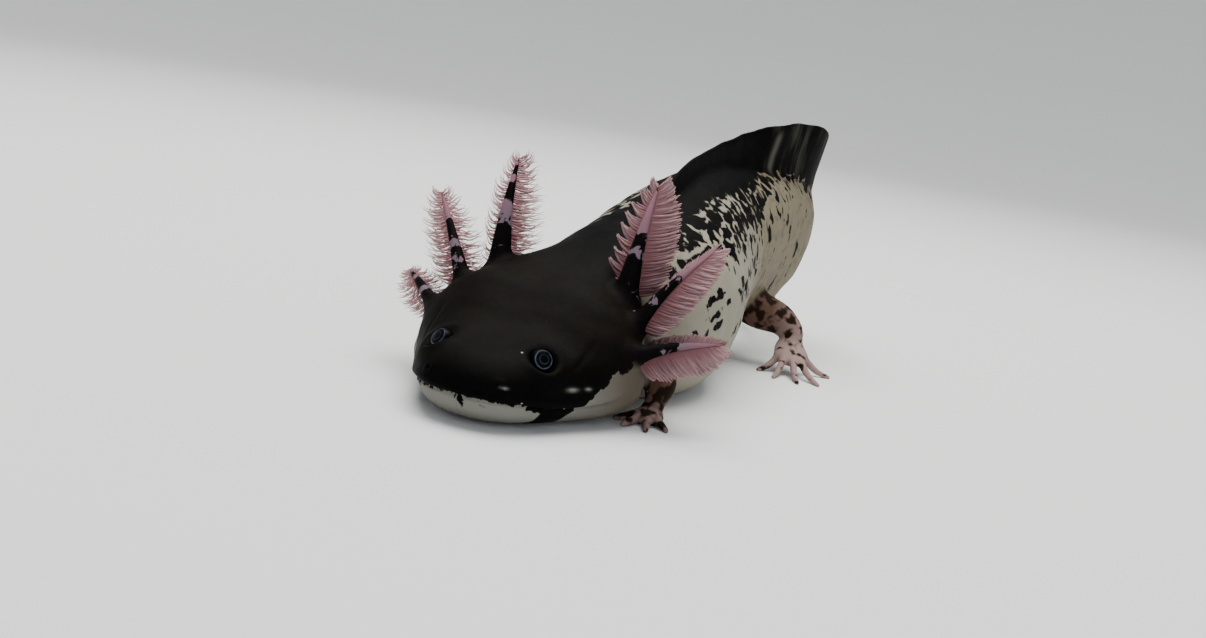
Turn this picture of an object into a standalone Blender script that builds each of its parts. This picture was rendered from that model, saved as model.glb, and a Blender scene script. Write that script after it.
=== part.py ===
"""Axolotl, a still life-size model: a walking salamander that rests its chin on the floor and stands
on its four feet, with the tail bent round behind it.

Metres, +Z up, the floor at z = 0. The head faces -Y and the animal's left side is towards +X. The
origin is the middle of the footprint.

The body is one long form, given by its outline at named stations along the spine and parted into
head, neck, trunk and tail by thin cuts. Jaw, limbs, gills, fins and eyes are pieces of their own that
meet it with the same thin gap.
"""

import math

import bmesh
import bpy
import numpy as np
from mathutils import Matrix, Vector

MM = 0.001
GAP = 0.3 * MM
FLOOR = 0.0

# ---------------------------------------------------------------- body outline
# Each station: distance from the snout along the spine, half width, height of the back, height of
# the belly, height of the widest line (all mm), heading of the spine in degrees (0 is straight back
# along +Y, positive turns towards the animal's left), squareness of the upper and lower half.
STATIONS = {
    "snout": (0.0, 10.6, 10.6, 1.8, 6.2, -2.0, 2.2, 2.2),
    "nostrils": (5.0, 11.4, 12.2, 0.8, 6.6, -2.0, 2.2, 2.4),
    "eyes": (15.0, 15.9, 15.4, -0.5, 7.2, -2.0, 2.2, 2.6),
    "cheeks": (27.0, 21.8, 22.6, -0.3, 7.6, -1.0, 2.35, 2.6),
    "gill_roots": (36.0, 20.6, 25.4, 0.4, 11.0, 3.0, 2.15, 2.5),
    "neck": (45.0, 18.8, 28.2, 0.4, 13.0, 14.0, 2.0, 2.5),
    "shoulders": (55.0, 19.2, 32.4, -1.0, 16.0, 15.0, 2.0, 2.7),
    "chest": (71.0, 18.4, 37.8, -0.9, 19.0, -4.0, 2.0, 2.7),
    "belly": (92.0, 15.4, 42.4, 4.6, 23.0, -2.0, 2.0, 2.2),
    "hips": (112.0, 12.4, 43.4, 9.0, 28.0, 8.0, 2.0, 1.85),
    "vent": (124.0, 9.8, 43.0, 10.6, 30.5, 10.0, 2.2, 1.7),
    "tail_root": (136.0, 7.4, 41.4, 11.8, 31.0, 7.0, 2.5, 1.7),
    "tail_bend": (150.0, 6.2, 37.6, 13.2, 28.5, -24.0, 2.5, 1.8),
    "tail_turn": (171.0, 4.6, 30.2, 11.0, 21.5, -70.0, 2.2, 2.0),
    "tail_low": (196.0, 3.0, 20.0, 6.6, 13.2, -90.0, 2.0, 2.0),
    "tail_thin": (214.0, 1.8, 12.4, 4.2, 8.2, -98.0, 2.0, 2.0),
    "tail_tip": (226.0, 0.7, 6.6, 3.4, 5.0, -100.0, 2.0, 2.0),
}
SNOUT_DEPTH = 11.0 * MM  # how far back the round of the snout reaches, seen from above
SNOUT_DROP = 6.0 * MM  # and seen from the side
SNOUT_POWER = 2.3


def flow(at, along, values):
    """A smooth curve through the stations: cubic pieces whose slopes come from the neighbours."""
    along, values = np.asarray(along, float), np.asarray(values, float)
    step = np.diff(along)
    rise = np.diff(values) / step
    slope = np.empty_like(values)
    slope[0], slope[-1] = rise[0], rise[-1]
    slope[1:-1] = (rise[:-1] * step[1:] + rise[1:] * step[:-1]) / (step[1:] + step[:-1])
    at = np.clip(np.asarray(at, float), along[0], along[-1])
    i = np.clip(np.searchsorted(along, at) - 1, 0, len(step) - 1)
    t = (at - along[i]) / step[i]
    return (
        values[i] * (1 + 2 * t) * (1 - t) ** 2
        + slope[i] * step[i] * t * (1 - t) ** 2
        + values[i + 1] * t * t * (3 - 2 * t)
        + slope[i + 1] * step[i] * t * t * (t - 1)
    )


def outline(column, at):
    """One column of STATIONS at a distance from the snout, in metres or degrees."""
    table = np.array(list(STATIONS.values()))
    scale = 1.0 if column >= HEADING else MM
    return flow(np.asarray(at) / MM, table[:, 0], table[:, column]) * scale


HALF_WIDTH, BACK, BELLY, WIDEST, HEADING, SQUARE_TOP, SQUARE_LOW = range(1, 8)
BODY_LENGTH = STATIONS["tail_tip"][0] * MM


def spine_table():
    """Points of the midline on the floor, half a millimetre apart, from the snout to the tail tip."""
    step = 0.5 * MM
    along = np.arange(0, BODY_LENGTH + step, step)
    turn = np.radians(outline(HEADING, along + step / 2))
    walk = np.stack([np.sin(turn), np.cos(turn)], 1) * step
    return along, np.vstack([[0.0, 0.0], np.cumsum(walk, 0)[:-1]])


SPINE_AT, SPINE_XY = spine_table()


def midline(at):
    x, y = (np.interp(at, SPINE_AT, SPINE_XY[:, axis]) for axis in (0, 1))
    return Vector((x, y, 0))


def backward(at):
    turn = math.radians(float(outline(HEADING, at)))
    return Vector((math.sin(turn), math.cos(turn), 0))


def leftward(at):
    turn = math.radians(float(outline(HEADING, at)))
    return Vector((math.cos(turn), -math.sin(turn), 0))


def round_off(at, depth):
    """The share of a full section that is left near the tip of the snout."""
    reach = min(max(at / depth, 0.0), 1.0)
    return (1 - (1 - reach) ** SNOUT_POWER) ** (1 / SNOUT_POWER)


def halves(at):
    """Half width, height of the widest line, and how far the section reaches above and below it."""
    tall = round_off(at, SNOUT_DROP)
    middle = float(outline(WIDEST, at))
    up = (float(outline(BACK, at)) - middle) * tall
    down = (middle - float(outline(BELLY, at))) * tall
    return float(outline(HALF_WIDTH, at)) * round_off(at, SNOUT_DEPTH), middle, up, down


def section_point(at, angle, grow=0.0):
    """A point of the body's surface: angle 0 is the left side, 90 the back, 180 the right side."""
    wide, middle, up, down = halves(at)
    c, s = math.cos(math.radians(angle)), math.sin(math.radians(angle))
    power = 2 / float(outline(SQUARE_TOP if s >= 0 else SQUARE_LOW, at))
    x = (wide + grow) * math.copysign(abs(c) ** power, c)
    z = middle + ((up if s >= 0 else down) + grow) * math.copysign(abs(s) ** power, s)
    return midline(at) + leftward(at) * x + Vector((0, 0, z if grow else max(z, FLOOR)))


def section(at, count, grow=0.0):
    """One ring of the body, across the spine, from the left side over the back."""
    return [section_point(at, 360 * k / count, grow) for k in range(count)]


def flank(at, side, height):
    """The point of the body's side at a height, found by halving the angle that leads to it."""
    low, high = -80.0, 80.0
    for _ in range(30):
        angle = (low + high) / 2
        if section_point(at, angle).z < height:
            low = angle
        else:
            high = angle
    left = section_point(at, angle) - midline(at)
    return midline(at) + leftward(at) * side * left.dot(leftward(at)) + Vector((0, 0, height))


# ---------------------------------------------------------------- building blocks


def finish(mesh, look):
    mesh.materials.clear()
    mesh.materials.append(look)
    mesh.shade_smooth()
    mesh.set_sharp_from_angle(angle=math.radians(50))


def new_object(name, mesh_data, look=None):
    """An object from a bmesh. Without a look it is a helper, which isn't part of the model."""
    mesh = bpy.data.meshes.new(name)
    mesh_data.to_mesh(mesh)
    mesh_data.free()
    obj = bpy.data.objects.new(name, mesh)
    bpy.context.scene.collection.objects.link(obj)
    if look:
        finish(mesh, look)
    else:
        obj.hide_render = True
        obj.display_type = "WIRE"
    return obj


def loft(rings):
    """A closed bmesh through rings of equal length. A ring of one point closes its end to a tip."""
    made = bmesh.new()
    rows = [[made.verts.new(p) for p in ring] for ring in rings]
    for a, b in zip(rows, rows[1:]):
        count = max(len(a), len(b))
        for k in range(count):
            m = (k + 1) % count
            corners = [a[k % len(a)], a[m % len(a)], b[m % len(b)], b[k % len(b)]]
            made.faces.new(list(dict.fromkeys(corners)))
    for row, order in ((rows[0], -1), (rows[-1], 1)):
        if len(row) > 1:
            made.faces.new(row[::order])
    bmesh.ops.recalc_face_normals(made, faces=made.faces)
    return made


def curve_through(points, count):
    """Points evenly spread on a smooth curve through a few given ones."""
    points = [Vector(p) for p in points]
    at = [0.0]
    for a, b in zip(points, points[1:]):
        at.append(at[-1] + (b - a).length)
    wanted = np.linspace(0, at[-1], count)
    return [Vector(p) for p in np.stack([flow(wanted, at, [p[i] for p in points]) for i in range(3)], 1)]


def path_frames(path, upright):
    """Direction, sideways and upright at each point of a path, carried along it without a twist."""
    frames = []
    for i in range(len(path)):
        ahead = (path[min(i + 1, len(path) - 1)] - path[max(i - 1, 0)]).normalized()
        side = ahead.cross(upright).normalized()
        upright = side.cross(ahead)
        frames.append((ahead, side, upright))
    return frames


def oval(centre, side, upright, wide, tall, count):
    ring = []
    for k in range(count):
        angle = 2 * math.pi * (k + 0.5) / count
        ring.append(centre + side * wide * math.cos(angle) + upright * tall * math.sin(angle))
    return ring


def tube(path, radii, sides, upright=Vector((0, 0, 1))):
    """A closed tube along points. Radii are (sideways, upright) pairs."""
    rings = []
    for point, (_, side, up), (wide, tall) in zip(path, path_frames(path, upright), radii):
        rings.append(oval(point, side, up, wide, tall, sides))
    return loft(rings)


def cut(obj, cutter, operation="DIFFERENCE"):
    """Applies a Boolean at once, removes the cutter, and keeps the largest piece that is left."""
    modifier = obj.modifiers.new("cut", "BOOLEAN")
    modifier.object = cutter
    modifier.operation = operation
    modifier.solver = "EXACT"
    graph = bpy.context.evaluated_depsgraph_get()
    made = bmesh.new()
    made.from_object(obj, graph)
    obj.modifiers.clear()
    bpy.data.objects.remove(cutter)
    bmesh.ops.triangulate(made, faces=made.faces)
    bmesh.ops.remove_doubles(made, verts=made.verts, dist=0.01 * MM)
    bmesh.ops.dissolve_degenerate(made, edges=made.edges, dist=0.005 * MM)
    keep_largest(made)
    made.to_mesh(obj.data)
    made.free()
    return obj


def keep_largest(made):
    """Deletes the slivers that a cut leaves beside the piece itself."""
    unseen = set(made.verts)
    islands = []
    while unseen:
        found, edge = set(), [unseen.pop()]
        while edge:
            vert = edge.pop()
            found.add(vert)
            for link in vert.link_edges:
                other = link.other_vert(vert)
                if other in unseen:
                    unseen.remove(other)
                    edge.append(other)
        islands.append(found)
    islands.sort(key=len)
    for island in islands[:-1]:
        bmesh.ops.delete(made, geom=list(island), context="VERTS")


def slab(low, high):
    """A box between two corners, to cut with."""
    made = bmesh.new()
    bmesh.ops.create_cube(made, size=1.0)
    low, high = Vector(low), Vector(high)
    bmesh.ops.scale(made, vec=high - low, verts=made.verts)
    bmesh.ops.translate(made, vec=(low + high) / 2, verts=made.verts)
    return new_object("helper", made)


def below_floor():
    return slab((-0.1, -0.1, -0.05), (0.1, 0.3, FLOOR))


def material(name, colour, roughness):
    look = bpy.data.materials.new(name)
    look.use_nodes = True
    shader = look.node_tree.nodes["Principled BSDF"]
    shader.inputs["Base Color"].default_value = (*colour, 1)
    shader.inputs["Roughness"].default_value = roughness
    return look


# ---------------------------------------------------------------- body
HEAD_RING = 24
BODY_RING = 18
TAIL_RING = 12
# name, where it starts and ends (mm from the snout), rings along it, points round it
LENGTHS = (
    ("head", 0.0, 38.0, 15, HEAD_RING),
    ("neck", 38.0, 49.0, 4, BODY_RING),
    ("trunk_front", 49.0, 86.0, 8, BODY_RING),
    ("trunk_rear", 86.0, 122.0, 8, BODY_RING),
    ("tail_base", 122.0, 156.0, 9, BODY_RING),
    ("tail_middle", 156.0, 190.0, 8, TAIL_RING),
    ("tail_end", 190.0, 226.0, 8, TAIL_RING),
)


def body_length(name, start, end, rings, points, look):
    first = start * MM + (GAP / 2 if start else 0)
    last = end * MM - GAP / 2
    if start:
        places = np.linspace(first, last, rings)
        return new_object(name, loft([section(s, points) for s in places]), look)
    # The snout closes to a tip, with rings that crowd towards it.
    places = [last * (1 - math.cos(math.pi / 2 * k / rings)) for k in range(1, rings + 1)]
    tip = [midline(0.0) + Vector((0, 0, float(outline(WIDEST, 0.0))))]
    return new_object(name, loft([tip] + [section(s, points) for s in places]), look)


def body_cutter(start, end):
    """The body from one place to another (mm from the snout), swollen by a gap, to cut what joins it."""
    places = np.linspace(start * MM, end * MM, 1 + int((end - start) / 3))
    return new_object("helper", loft([section(s, HEAD_RING, GAP * 1.2) for s in places]))


# ---------------------------------------------------------------- mouth
# The slit between the jaws: distance from the snout and height, from in front of the lip to the
# corner of the mouth.
MOUTH = ((-3.0, 5.6), (4.0, 5.2), (11.0, 4.3), (17.0, 4.4), (23.0, 6.2))


def under_mouth(shift):
    """All that lies under the slit and in front of its corner, moved up and back by a shift."""
    at, height = np.array(MOUTH).T * MM
    places = np.linspace(at[0], at[-1], 14)
    front = [(s + shift, z + shift) for s, z in zip(places, flow(places, at, height))]
    corners = front + [(front[-1][0], -5 * MM), (front[0][0], -5 * MM)]
    return loft([[Vector((x, s, z)) for s, z in corners] for x in (-40 * MM, 40 * MM)])


def part_the_jaws(head, look):
    jaw = new_object("lower_jaw", bmesh_of(head), look)
    cut(jaw, new_object("helper", under_mouth(-GAP / 2)), "INTERSECT")
    cut(head, new_object("helper", under_mouth(GAP / 2)))
    for obj in (jaw, head):
        finish(obj.data, look if obj is jaw else head.data.materials[0])


def bmesh_of(obj):
    made = bmesh.new()
    made.from_mesh(obj.data)
    return made


# ---------------------------------------------------------------- eyes
# Distance from the snout of the left (1) and the right eye. The head is held a little askew.
EYE_AT = {1: 11.6 * MM, -1: 10.2 * MM}
EYE_ANGLE = 46.0  # degrees round the section, from the side towards the top
EYE_RADIUS = 2.0 * MM
EYE_DEPTH = 1.0 * MM  # how deep the middle of the eye sits under the skin


def eye_centre(side):
    at, angle = EYE_AT[side], EYE_ANGLE if side > 0 else 180 - EYE_ANGLE
    surface = section_point(at, angle)
    inward = midline(at) + Vector((0, 0, float(outline(WIDEST, at)))) - surface
    return surface + inward.normalized() * EYE_DEPTH


def ball(centre, radius, across, around):
    made = bmesh.new()
    bmesh.ops.create_uvsphere(made, u_segments=across, v_segments=around, radius=radius)
    bmesh.ops.translate(made, vec=centre, verts=made.verts)
    return made


def add_eyes(head, look):
    for side, word in ((1, "left"), (-1, "right")):
        new_object("eye_" + word, ball(eye_centre(side), EYE_RADIUS, 12, 8), look)
        cut(head, new_object("helper", ball(eye_centre(side), EYE_RADIUS + GAP * 1.1, 16, 10)))


# ---------------------------------------------------------------- fins
FIN_FOOT = 0.9 * MM  # half thickness where the fin stands on the back
FIN_EDGE = 0.35 * MM  # half thickness at its edge
# How far the fin stands above the back, and below the tail, at places along the spine (mm).
FIN_ABOVE = ((56.0, 0.6), (66.0, 3.2), (76.0, 4.4), (90.0, 4.3), (104.0, 5.9), (114.0, 8.4),
             (124.0, 11.2), (134.0, 13.2), (142.0, 13.6), (152.0, 12.2), (171.0, 9.0), (196.0, 6.6),
             (214.0, 4.0), (226.0, 1.0))
FIN_BELOW = ((128.0, 0.8), (140.0, 3.0), (154.0, 6.0), (171.0, 8.0), (196.0, 7.4), (214.0, 4.4),
             (226.0, 1.0))
# How far the edge of the upper fin leans to the left, on the outside of the bend, and the share of
# that by which its foot has left the middle of the back.
FIN_LEAN = ((110.0, 0.0), (141.0, 6.2), (165.0, 3.4), (195.0, 0.0))
FIN_FOOT_LEAN = 0.55


def named_curve(curve, at):
    places, values = np.array(curve).T * MM
    return float(flow(at, places, values))


def back_drop(at, left):
    """How far the back has come down at a distance to the left of its middle."""
    wide, _, up, _ = halves(at)
    power = float(outline(SQUARE_TOP, at))
    return up * (1 - (1 - (left / wide) ** power) ** (1 / power))


def fin_ring(at, upper):
    """A slice of a fin: thick at its foot on the body, thin at its edge."""
    centre, left = midline(at), leftward(at)
    foot = float(outline(BACK if upper else BELLY, at)) + (GAP if upper else -GAP)
    height = named_curve(FIN_ABOVE if upper else FIN_BELOW, at)
    lean = named_curve(FIN_LEAN, at) if upper else 0.0
    tip = foot + height if upper else max(foot - height, FLOOR)
    off = lean * FIN_FOOT_LEAN
    sides = []
    for side in (1, -1):
        drop = back_drop(at, off + side * min(off, FIN_FOOT)) if off else 0.0
        profile = [(off + side * FIN_FOOT, foot - drop)]
        for share, half in ((0.35, FIN_FOOT * 0.62), (1.0, FIN_EDGE)):
            profile.append((off + (lean - off) * share + side * half, foot + (tip - foot) * share))
        sides.append([centre + left * x + Vector((0, 0, z)) for x, z in profile])
    return sides[0] + sides[1][::-1]


def fin(name, start, end, rings, upper, look):
    places = np.linspace(start * MM + GAP / 2, end * MM - GAP / 2, rings)
    return new_object(name, loft([fin_ring(s, upper) for s in places]), look)


def add_fins(look):
    fin("dorsal_fin_trunk", 56.0, 122.0, 14, True, look)
    fin("dorsal_fin_tail_base", 122.0, 156.0, 10, True, look)
    fin("dorsal_fin_tail", 156.0, 225.0, 18, True, look)
    fin("ventral_fin_tail_base", 128.0, 156.0, 8, False, look)
    fin("ventral_fin_tail", 156.0, 225.0, 18, False, look)


# ---------------------------------------------------------------- gills
# Three stalks on each side, each with two rows of filaments that stand off its rear like the leaves
# of a half-open book. A row is one thin vane here, with a toothed edge.
# name: place along the spine and height of the root (mm), reach to the tip (left, back, up), how far
# the rows' middle hangs from straight back towards straight down (degrees), length of the rows and
# thickness of the stalk, to those of the upper gill.
GILLS = {
    "upper": ((36.5, 22.4), (1.5, 7.5, 20.6), 0.0, 1.0, 1.0),
    "middle": ((32.5, 18.0), (10.8, 8.0, 15.6), 42.0, 0.96, 0.75),
    "lower": ((28.0, 13.2), (12.2, 10.4, 3.8), 46.0, 0.88, 0.7),
}
GILL_LEAN = -0.09  # how far a tip leans to the left for its height, as the head is held askew
STALK_RADIUS = ((0.0, 2.5), (0.3, 1.8), (0.7, 1.0), (1.0, 0.6))
VANE_LENGTH = ((0.0, 0.8), (0.12, 2.0), (0.3, 5.0), (0.55, 6.1), (0.8, 5.0), (1.0, 2.3))
VANE_SPREAD = 58.0  # degrees from the rows' middle to each row
VANE_HALF = 0.33 * MM
VANE_SWEEP = 0.4  # how much a filament points to the tip, to its length
VANE_TOOTH = 0.82  # length of the short teeth, to the long ones
GILL_RINGS = 19
GILL_BOW = 1.2 * MM
GILL_SINK = 2.5 * MM


def share_curve(curve, at):
    places, values = np.array(curve).T
    return float(flow(at, places, values)) * MM


def gill_ring(t, centre, along, rear, across, thickness, tooth):
    radius = share_curve(STALK_RADIUS, t) * thickness
    length = max(share_curve(VANE_LENGTH, t) * tooth, 0.6 * MM)
    ring = []
    for turn in (-1, 1):
        angle = math.radians(VANE_SPREAD) * turn
        out = rear * math.cos(angle) + across * math.sin(angle)
        edge = (across * math.cos(angle) - rear * math.sin(angle)) * VANE_HALF
        root = centre + out * radius * 0.8
        tip = centre + out * (radius + length) + along * length * VANE_SWEEP
        ring += [root - edge, tip - edge, tip + edge, root + edge]
    # The stalk's round front closes the ring, from the second vane round to the first.
    for angle in (115.0, 180.0, -115.0):
        out = rear * math.cos(math.radians(angle)) + across * math.sin(math.radians(angle))
        ring.append(centre + out * radius)
    return ring


def gill(word, side, name, look):
    (at, height), reach, hang, fullness, thickness = GILLS[name]
    root = flank(at * MM, side, height * MM)
    reach = Vector((reach[0] * side + GILL_LEAN * reach[2], reach[1], reach[2])) * MM
    along = reach.normalized()
    back = (Vector((0, 1, 0)) - along * along.y).normalized()
    down = (Vector((0, 0, -1)) + along * along.z).normalized()
    turn = math.radians(hang)
    rear = back * math.cos(turn) + (down - back * down.dot(back)).normalized() * math.sin(turn)
    across = along.cross(rear).normalized()
    rings = []
    for k in range(GILL_RINGS):
        t = k / (GILL_RINGS - 1)
        centre = root - along * GILL_SINK + (reach + along * GILL_SINK) * t
        centre = centre - rear * GILL_BOW * math.sin(math.pi * t)
        tooth = fullness * (VANE_TOOTH if k % 2 else 1.0)
        rings.append(gill_ring(t, centre, along, rear, across, thickness, tooth))
    obj = new_object("gill_" + word + "_" + name, loft(rings), look)
    cut(obj, body_cutter(24.0, 66.0))
    finish(obj.data, look)


# ---------------------------------------------------------------- limbs
# Left limbs; the right ones mirror them about the spine. A path's points are (left of the midline,
# back from the snout, height) in mm. Joints are shares of the path's length: elbow and wrist, knee and
# ankle. The palm has a height and a slope down to the front (degrees): the hand lies flat, the foot
# stands on its toes. A digit is (degrees outwards from straight ahead, length in mm), and the arch is
# the height along it.
LIMB_SIDES = 10
ARM = {
    "names": ("upper_arm", "forearm", "hand"),
    "path": ((11.0, 47.0, 11.0), (17.0, 47.0, 9.6), (20.6, 45.6, 7.0), (20.9, 43.8, 4.2), (20.9, 41.8, 1.8)),
    "joints": (0.6, 0.84),
    "radii": ((0.0, 3.7), (0.3, 3.3), (0.6, 2.8), (0.75, 2.5), (0.84, 2.1), (1.0, 1.6)),
    "palm": (2.9, 3.2, 1.3),
    "stands": (1.1, 0.0),
    "digits": ((-30.0, 6.6), (0.0, 8.2), (30.0, 8.4), (62.0, 6.8)),
    "arch": ((0.0, 1.0), (0.35, 1.15), (0.7, 0.8), (1.0, 0.4)),
    "cutter": (33.0, 66.0),
}
LEG = {
    "names": ("thigh", "shin", "foot"),
    "path": ((3.0, 116.0, 14.6), (9.0, 116.6, 12.2), (15.0, 118.2, 10.6), (17.6, 118.8, 8.2),
             (18.0, 117.6, 5.8)),
    "joints": (0.6, 0.88),
    "radii": ((0.0, 4.6), (0.3, 4.4), (0.6, 3.6), (0.78, 2.9), (0.88, 2.5), (1.0, 2.0)),
    "palm": (3.8, 4.2, 1.4),
    "stands": (4.6, 34.0),
    "digits": ((-22.0, 8.4), (12.0, 11.2), (38.0, 12.6), (60.0, 12.8), (120.0, 9.6)),
    "arch": ((0.0, 5.0), (0.35, 3.6), (0.72, 1.1), (1.0, 0.3)),
    "cutter": (98.0, 136.0),
}
DIGIT_RADII = ((0.0, 0.9), (0.35, 0.85), (0.7, 0.7), (1.0, 0.45))


def limb_point(point, side):
    left, back, up = (v * MM for v in point)
    return midline(back) + leftward(back) * side * left + Vector((0, 0, up))


def limb_stretch(path, radii, begin, end):
    """A closed stretch of a limb between two shares of its length, cut square at both ends."""
    frames = path_frames(path, Vector((0.0, 0.3, 1.0)).normalized())
    last = len(path) - 1
    rings = []
    for share in np.linspace(begin, end, max(3, round((end - begin) * last) + 1)):
        i = min(int(share * last), last - 1)
        mix = share * last - i
        side, up = (frames[i][j].lerp(frames[i + 1][j], mix).normalized() for j in (1, 2))
        radius = share_curve(radii, share)
        rings.append(oval(path[i].lerp(path[i + 1], mix), side, up, radius, radius, LIMB_SIDES))
    return loft(rings)


def digit(start, ahead, length, arch):
    """One finger or toe: it leaves the palm and comes down on its tip."""
    path = [start + ahead * length * share + Vector((0, 0, z * MM)) for share, z in arch]
    return tube(path, [(r * MM, r * MM) for _, r in DIGIT_RADII], 6)


def add_limb(word, side, limb, look, pale):
    path = curve_through([limb_point(p, side) for p in limb["path"]], 15)
    length = sum((b - a).length for a, b in zip(path, path[1:]))
    half_gap = GAP / 2 / length
    upper, lower = limb["joints"]
    names = ["_".join((name, word)) for name in limb["names"]]
    top = new_object(names[0], limb_stretch(path, limb["radii"], 0.0, upper - half_gap), look)
    cut(top, body_cutter(*limb["cutter"]))
    finish(top.data, look)
    new_object(names[1], limb_stretch(path, limb["radii"], upper + half_gap, lower - half_gap), look)
    # Hand or foot: the wrist runs into a flat palm, and the digits fan out from its middle.
    end = new_object(names[2], limb_stretch(path, limb["radii"], lower + half_gap, 1.0), pale)
    at = limb["path"][-1][1] * MM
    left, back = leftward(at) * side, backward(at)
    fan = [math.radians(turn) for turn, _ in limb["digits"]]
    middle = sum(fan) / len(fan)
    wide, long, thick = (v * MM for v in limb["palm"])
    ahead = left * math.sin(middle) - back * math.cos(middle)
    height, slope = limb["stands"]
    centre = Vector((path[-1].x, path[-1].y, height * MM)) + ahead * long * 0.5
    palm = ball(Vector(), 1.0, 10, 7)
    across = ahead.cross(Vector((0, 0, 1)))
    downhill = ahead * math.cos(math.radians(slope)) - Vector((0, 0, math.sin(math.radians(slope))))
    axes = Matrix((across, downhill, across.cross(downhill))).transposed()
    size = Matrix.Diagonal((wide, long, thick))
    bmesh.ops.transform(palm, matrix=(axes @ size).to_4x4(), verts=palm.verts)
    bmesh.ops.translate(palm, vec=centre, verts=palm.verts)
    cut(end, new_object("helper", palm), "UNION")
    start = Vector((centre.x, centre.y, 0)) - ahead * long * 0.2
    for turn, (_, reach) in zip(fan, limb["digits"]):
        out = left * math.sin(turn) - back * math.cos(turn)
        cut(end, new_object("helper", digit(start, out, reach * MM, limb["arch"])), "UNION")
    cut(end, below_floor())
    finish(end.data, pale)


# ---------------------------------------------------------------- build


def centre_on_footprint():
    """Moves everything so that the middle of the footprint is at x = y = 0."""
    corners = [v.co for obj in bpy.data.objects for v in obj.data.vertices]
    middle = [(min(c[i] for c in corners) + max(c[i] for c in corners)) / 2 for i in (0, 1)]
    for obj in bpy.data.objects:
        obj.data.transform(Matrix.Translation((-middle[0], -middle[1], 0)))


def main():
    for obj in list(bpy.data.objects):
        bpy.data.objects.remove(obj)
    dark = material("dark_skin", (0.022, 0.017, 0.013), 0.45)
    mottled = material("mottled_skin", (0.35, 0.32, 0.28), 0.45)
    pale = material("pale_skin", (0.62, 0.58, 0.52), 0.45)
    limb_skin = material("limb_skin", (0.2, 0.12, 0.1), 0.45)
    foot_skin = material("foot_skin", (0.6, 0.42, 0.38), 0.45)
    fin_skin = material("fin_skin", (0.03, 0.028, 0.024), 0.4)
    gill_skin = material("gill_skin", (0.5, 0.2, 0.24), 0.5)
    eye_surface = material("eye_surface", (0.01, 0.01, 0.012), 0.1)
    looks = {"head": dark, "neck": dark}
    for name, start, end, rings, points in LENGTHS:
        made = body_length(name, start, end, rings, points, looks.get(name, mottled))
        if name == "head":
            part_the_jaws(made, pale)
            add_eyes(made, eye_surface)
            finish(made.data, dark)
    add_fins(fin_skin)
    for word, side in (("left", 1), ("right", -1)):
        for name in GILLS:
            gill(word, side, name, gill_skin)
        for limb in (ARM, LEG):
            add_limb(word, side, limb, limb_skin, foot_skin)
    centre_on_footprint()


main()
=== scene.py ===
import math

import bpy
import numpy as np
from mathutils import Matrix, Vector


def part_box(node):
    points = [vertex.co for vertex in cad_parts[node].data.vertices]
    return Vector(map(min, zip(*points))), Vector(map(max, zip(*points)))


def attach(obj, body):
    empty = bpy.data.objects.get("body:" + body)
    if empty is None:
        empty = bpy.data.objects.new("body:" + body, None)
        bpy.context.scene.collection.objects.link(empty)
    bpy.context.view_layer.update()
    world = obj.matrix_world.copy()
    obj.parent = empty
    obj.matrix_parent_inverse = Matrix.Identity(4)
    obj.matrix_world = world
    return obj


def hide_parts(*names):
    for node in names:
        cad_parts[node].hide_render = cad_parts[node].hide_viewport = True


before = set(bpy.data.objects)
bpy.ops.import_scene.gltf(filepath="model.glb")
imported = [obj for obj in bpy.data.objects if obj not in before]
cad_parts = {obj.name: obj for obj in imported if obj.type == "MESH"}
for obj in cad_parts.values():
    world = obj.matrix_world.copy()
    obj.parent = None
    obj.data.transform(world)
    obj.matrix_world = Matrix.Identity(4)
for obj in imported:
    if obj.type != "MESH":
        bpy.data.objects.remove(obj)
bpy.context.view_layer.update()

MM = 0.001

# ==== The viewpoint ============================================================================
# A visitor crouches at the front left of the model and looks a little down at its face. The head is
# held slightly askew, so the floor falls away to the right.
EYE_LEVEL = Vector((0.1268, -0.2972, 0.0657))
TURNED = math.radians(22.55)
LOOKS_DOWN = math.radians(10.32)
TILTED = math.radians(9.73)
LENS = 44.78  # mm, on a sensor 36 mm wide

ahead = Vector((-math.sin(TURNED), math.cos(TURNED), 0))
sight = ahead * math.cos(LOOKS_DOWN) - Vector((0, 0, math.sin(LOOKS_DOWN)))
level = Vector((math.cos(TURNED), math.sin(TURNED), 0))
upright = level.cross(sight)
camera_right = level * math.cos(TILTED) + upright * math.sin(TILTED)
camera_up = upright * math.cos(TILTED) - level * math.sin(TILTED)

camera = bpy.data.objects.new("camera", bpy.data.cameras.new("camera"))
camera.data.lens = LENS
camera.data.clip_start = 0.01
camera.data.clip_end = 20.0
axes = Matrix((camera_right, camera_up, -sight)).transposed().to_4x4()
camera.matrix_world = Matrix.Translation(EYE_LEVEL) @ axes
bpy.context.scene.collection.objects.link(camera)
bpy.context.scene.camera = camera


# ==== The floor and the light ==================================================================
# A round table top of pale matt board that sweeps up into a wall, as a photographer's cove does, so
# no edge shows behind the model. A wide soft box hangs over it, and the room is evenly pale.
COVE_FLAT = 0.9
COVE_BEND = 0.6
COVE_WALL = 1.4
COVE_STEPS = 16
COVE_SIDES = 96


def linear(code):
    """The linear red, green, blue and alpha of an sRGB hex colour."""
    parts = [int(code[i:i + 2], 16) / 255 for i in (1, 3, 5)]
    return (*[c / 12.92 if c <= 0.04045 else ((c + 0.055) / 1.055) ** 2.4 for c in parts], 1.0)


def add(tree, kind, inputs=None, output=0, **settings):
    """Adds a shader node with its settings and links, and returns one of its outputs."""
    made = tree.nodes.new("ShaderNode" + kind)
    for name, value in settings.items():
        setattr(made, name, value)
    for name, value in (inputs or {}).items():
        if isinstance(value, bpy.types.NodeSocket):
            tree.links.new(value, made.inputs[name])
        else:
            made.inputs[name].default_value = value
    return made.outputs[output] if made.outputs else None


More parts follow.
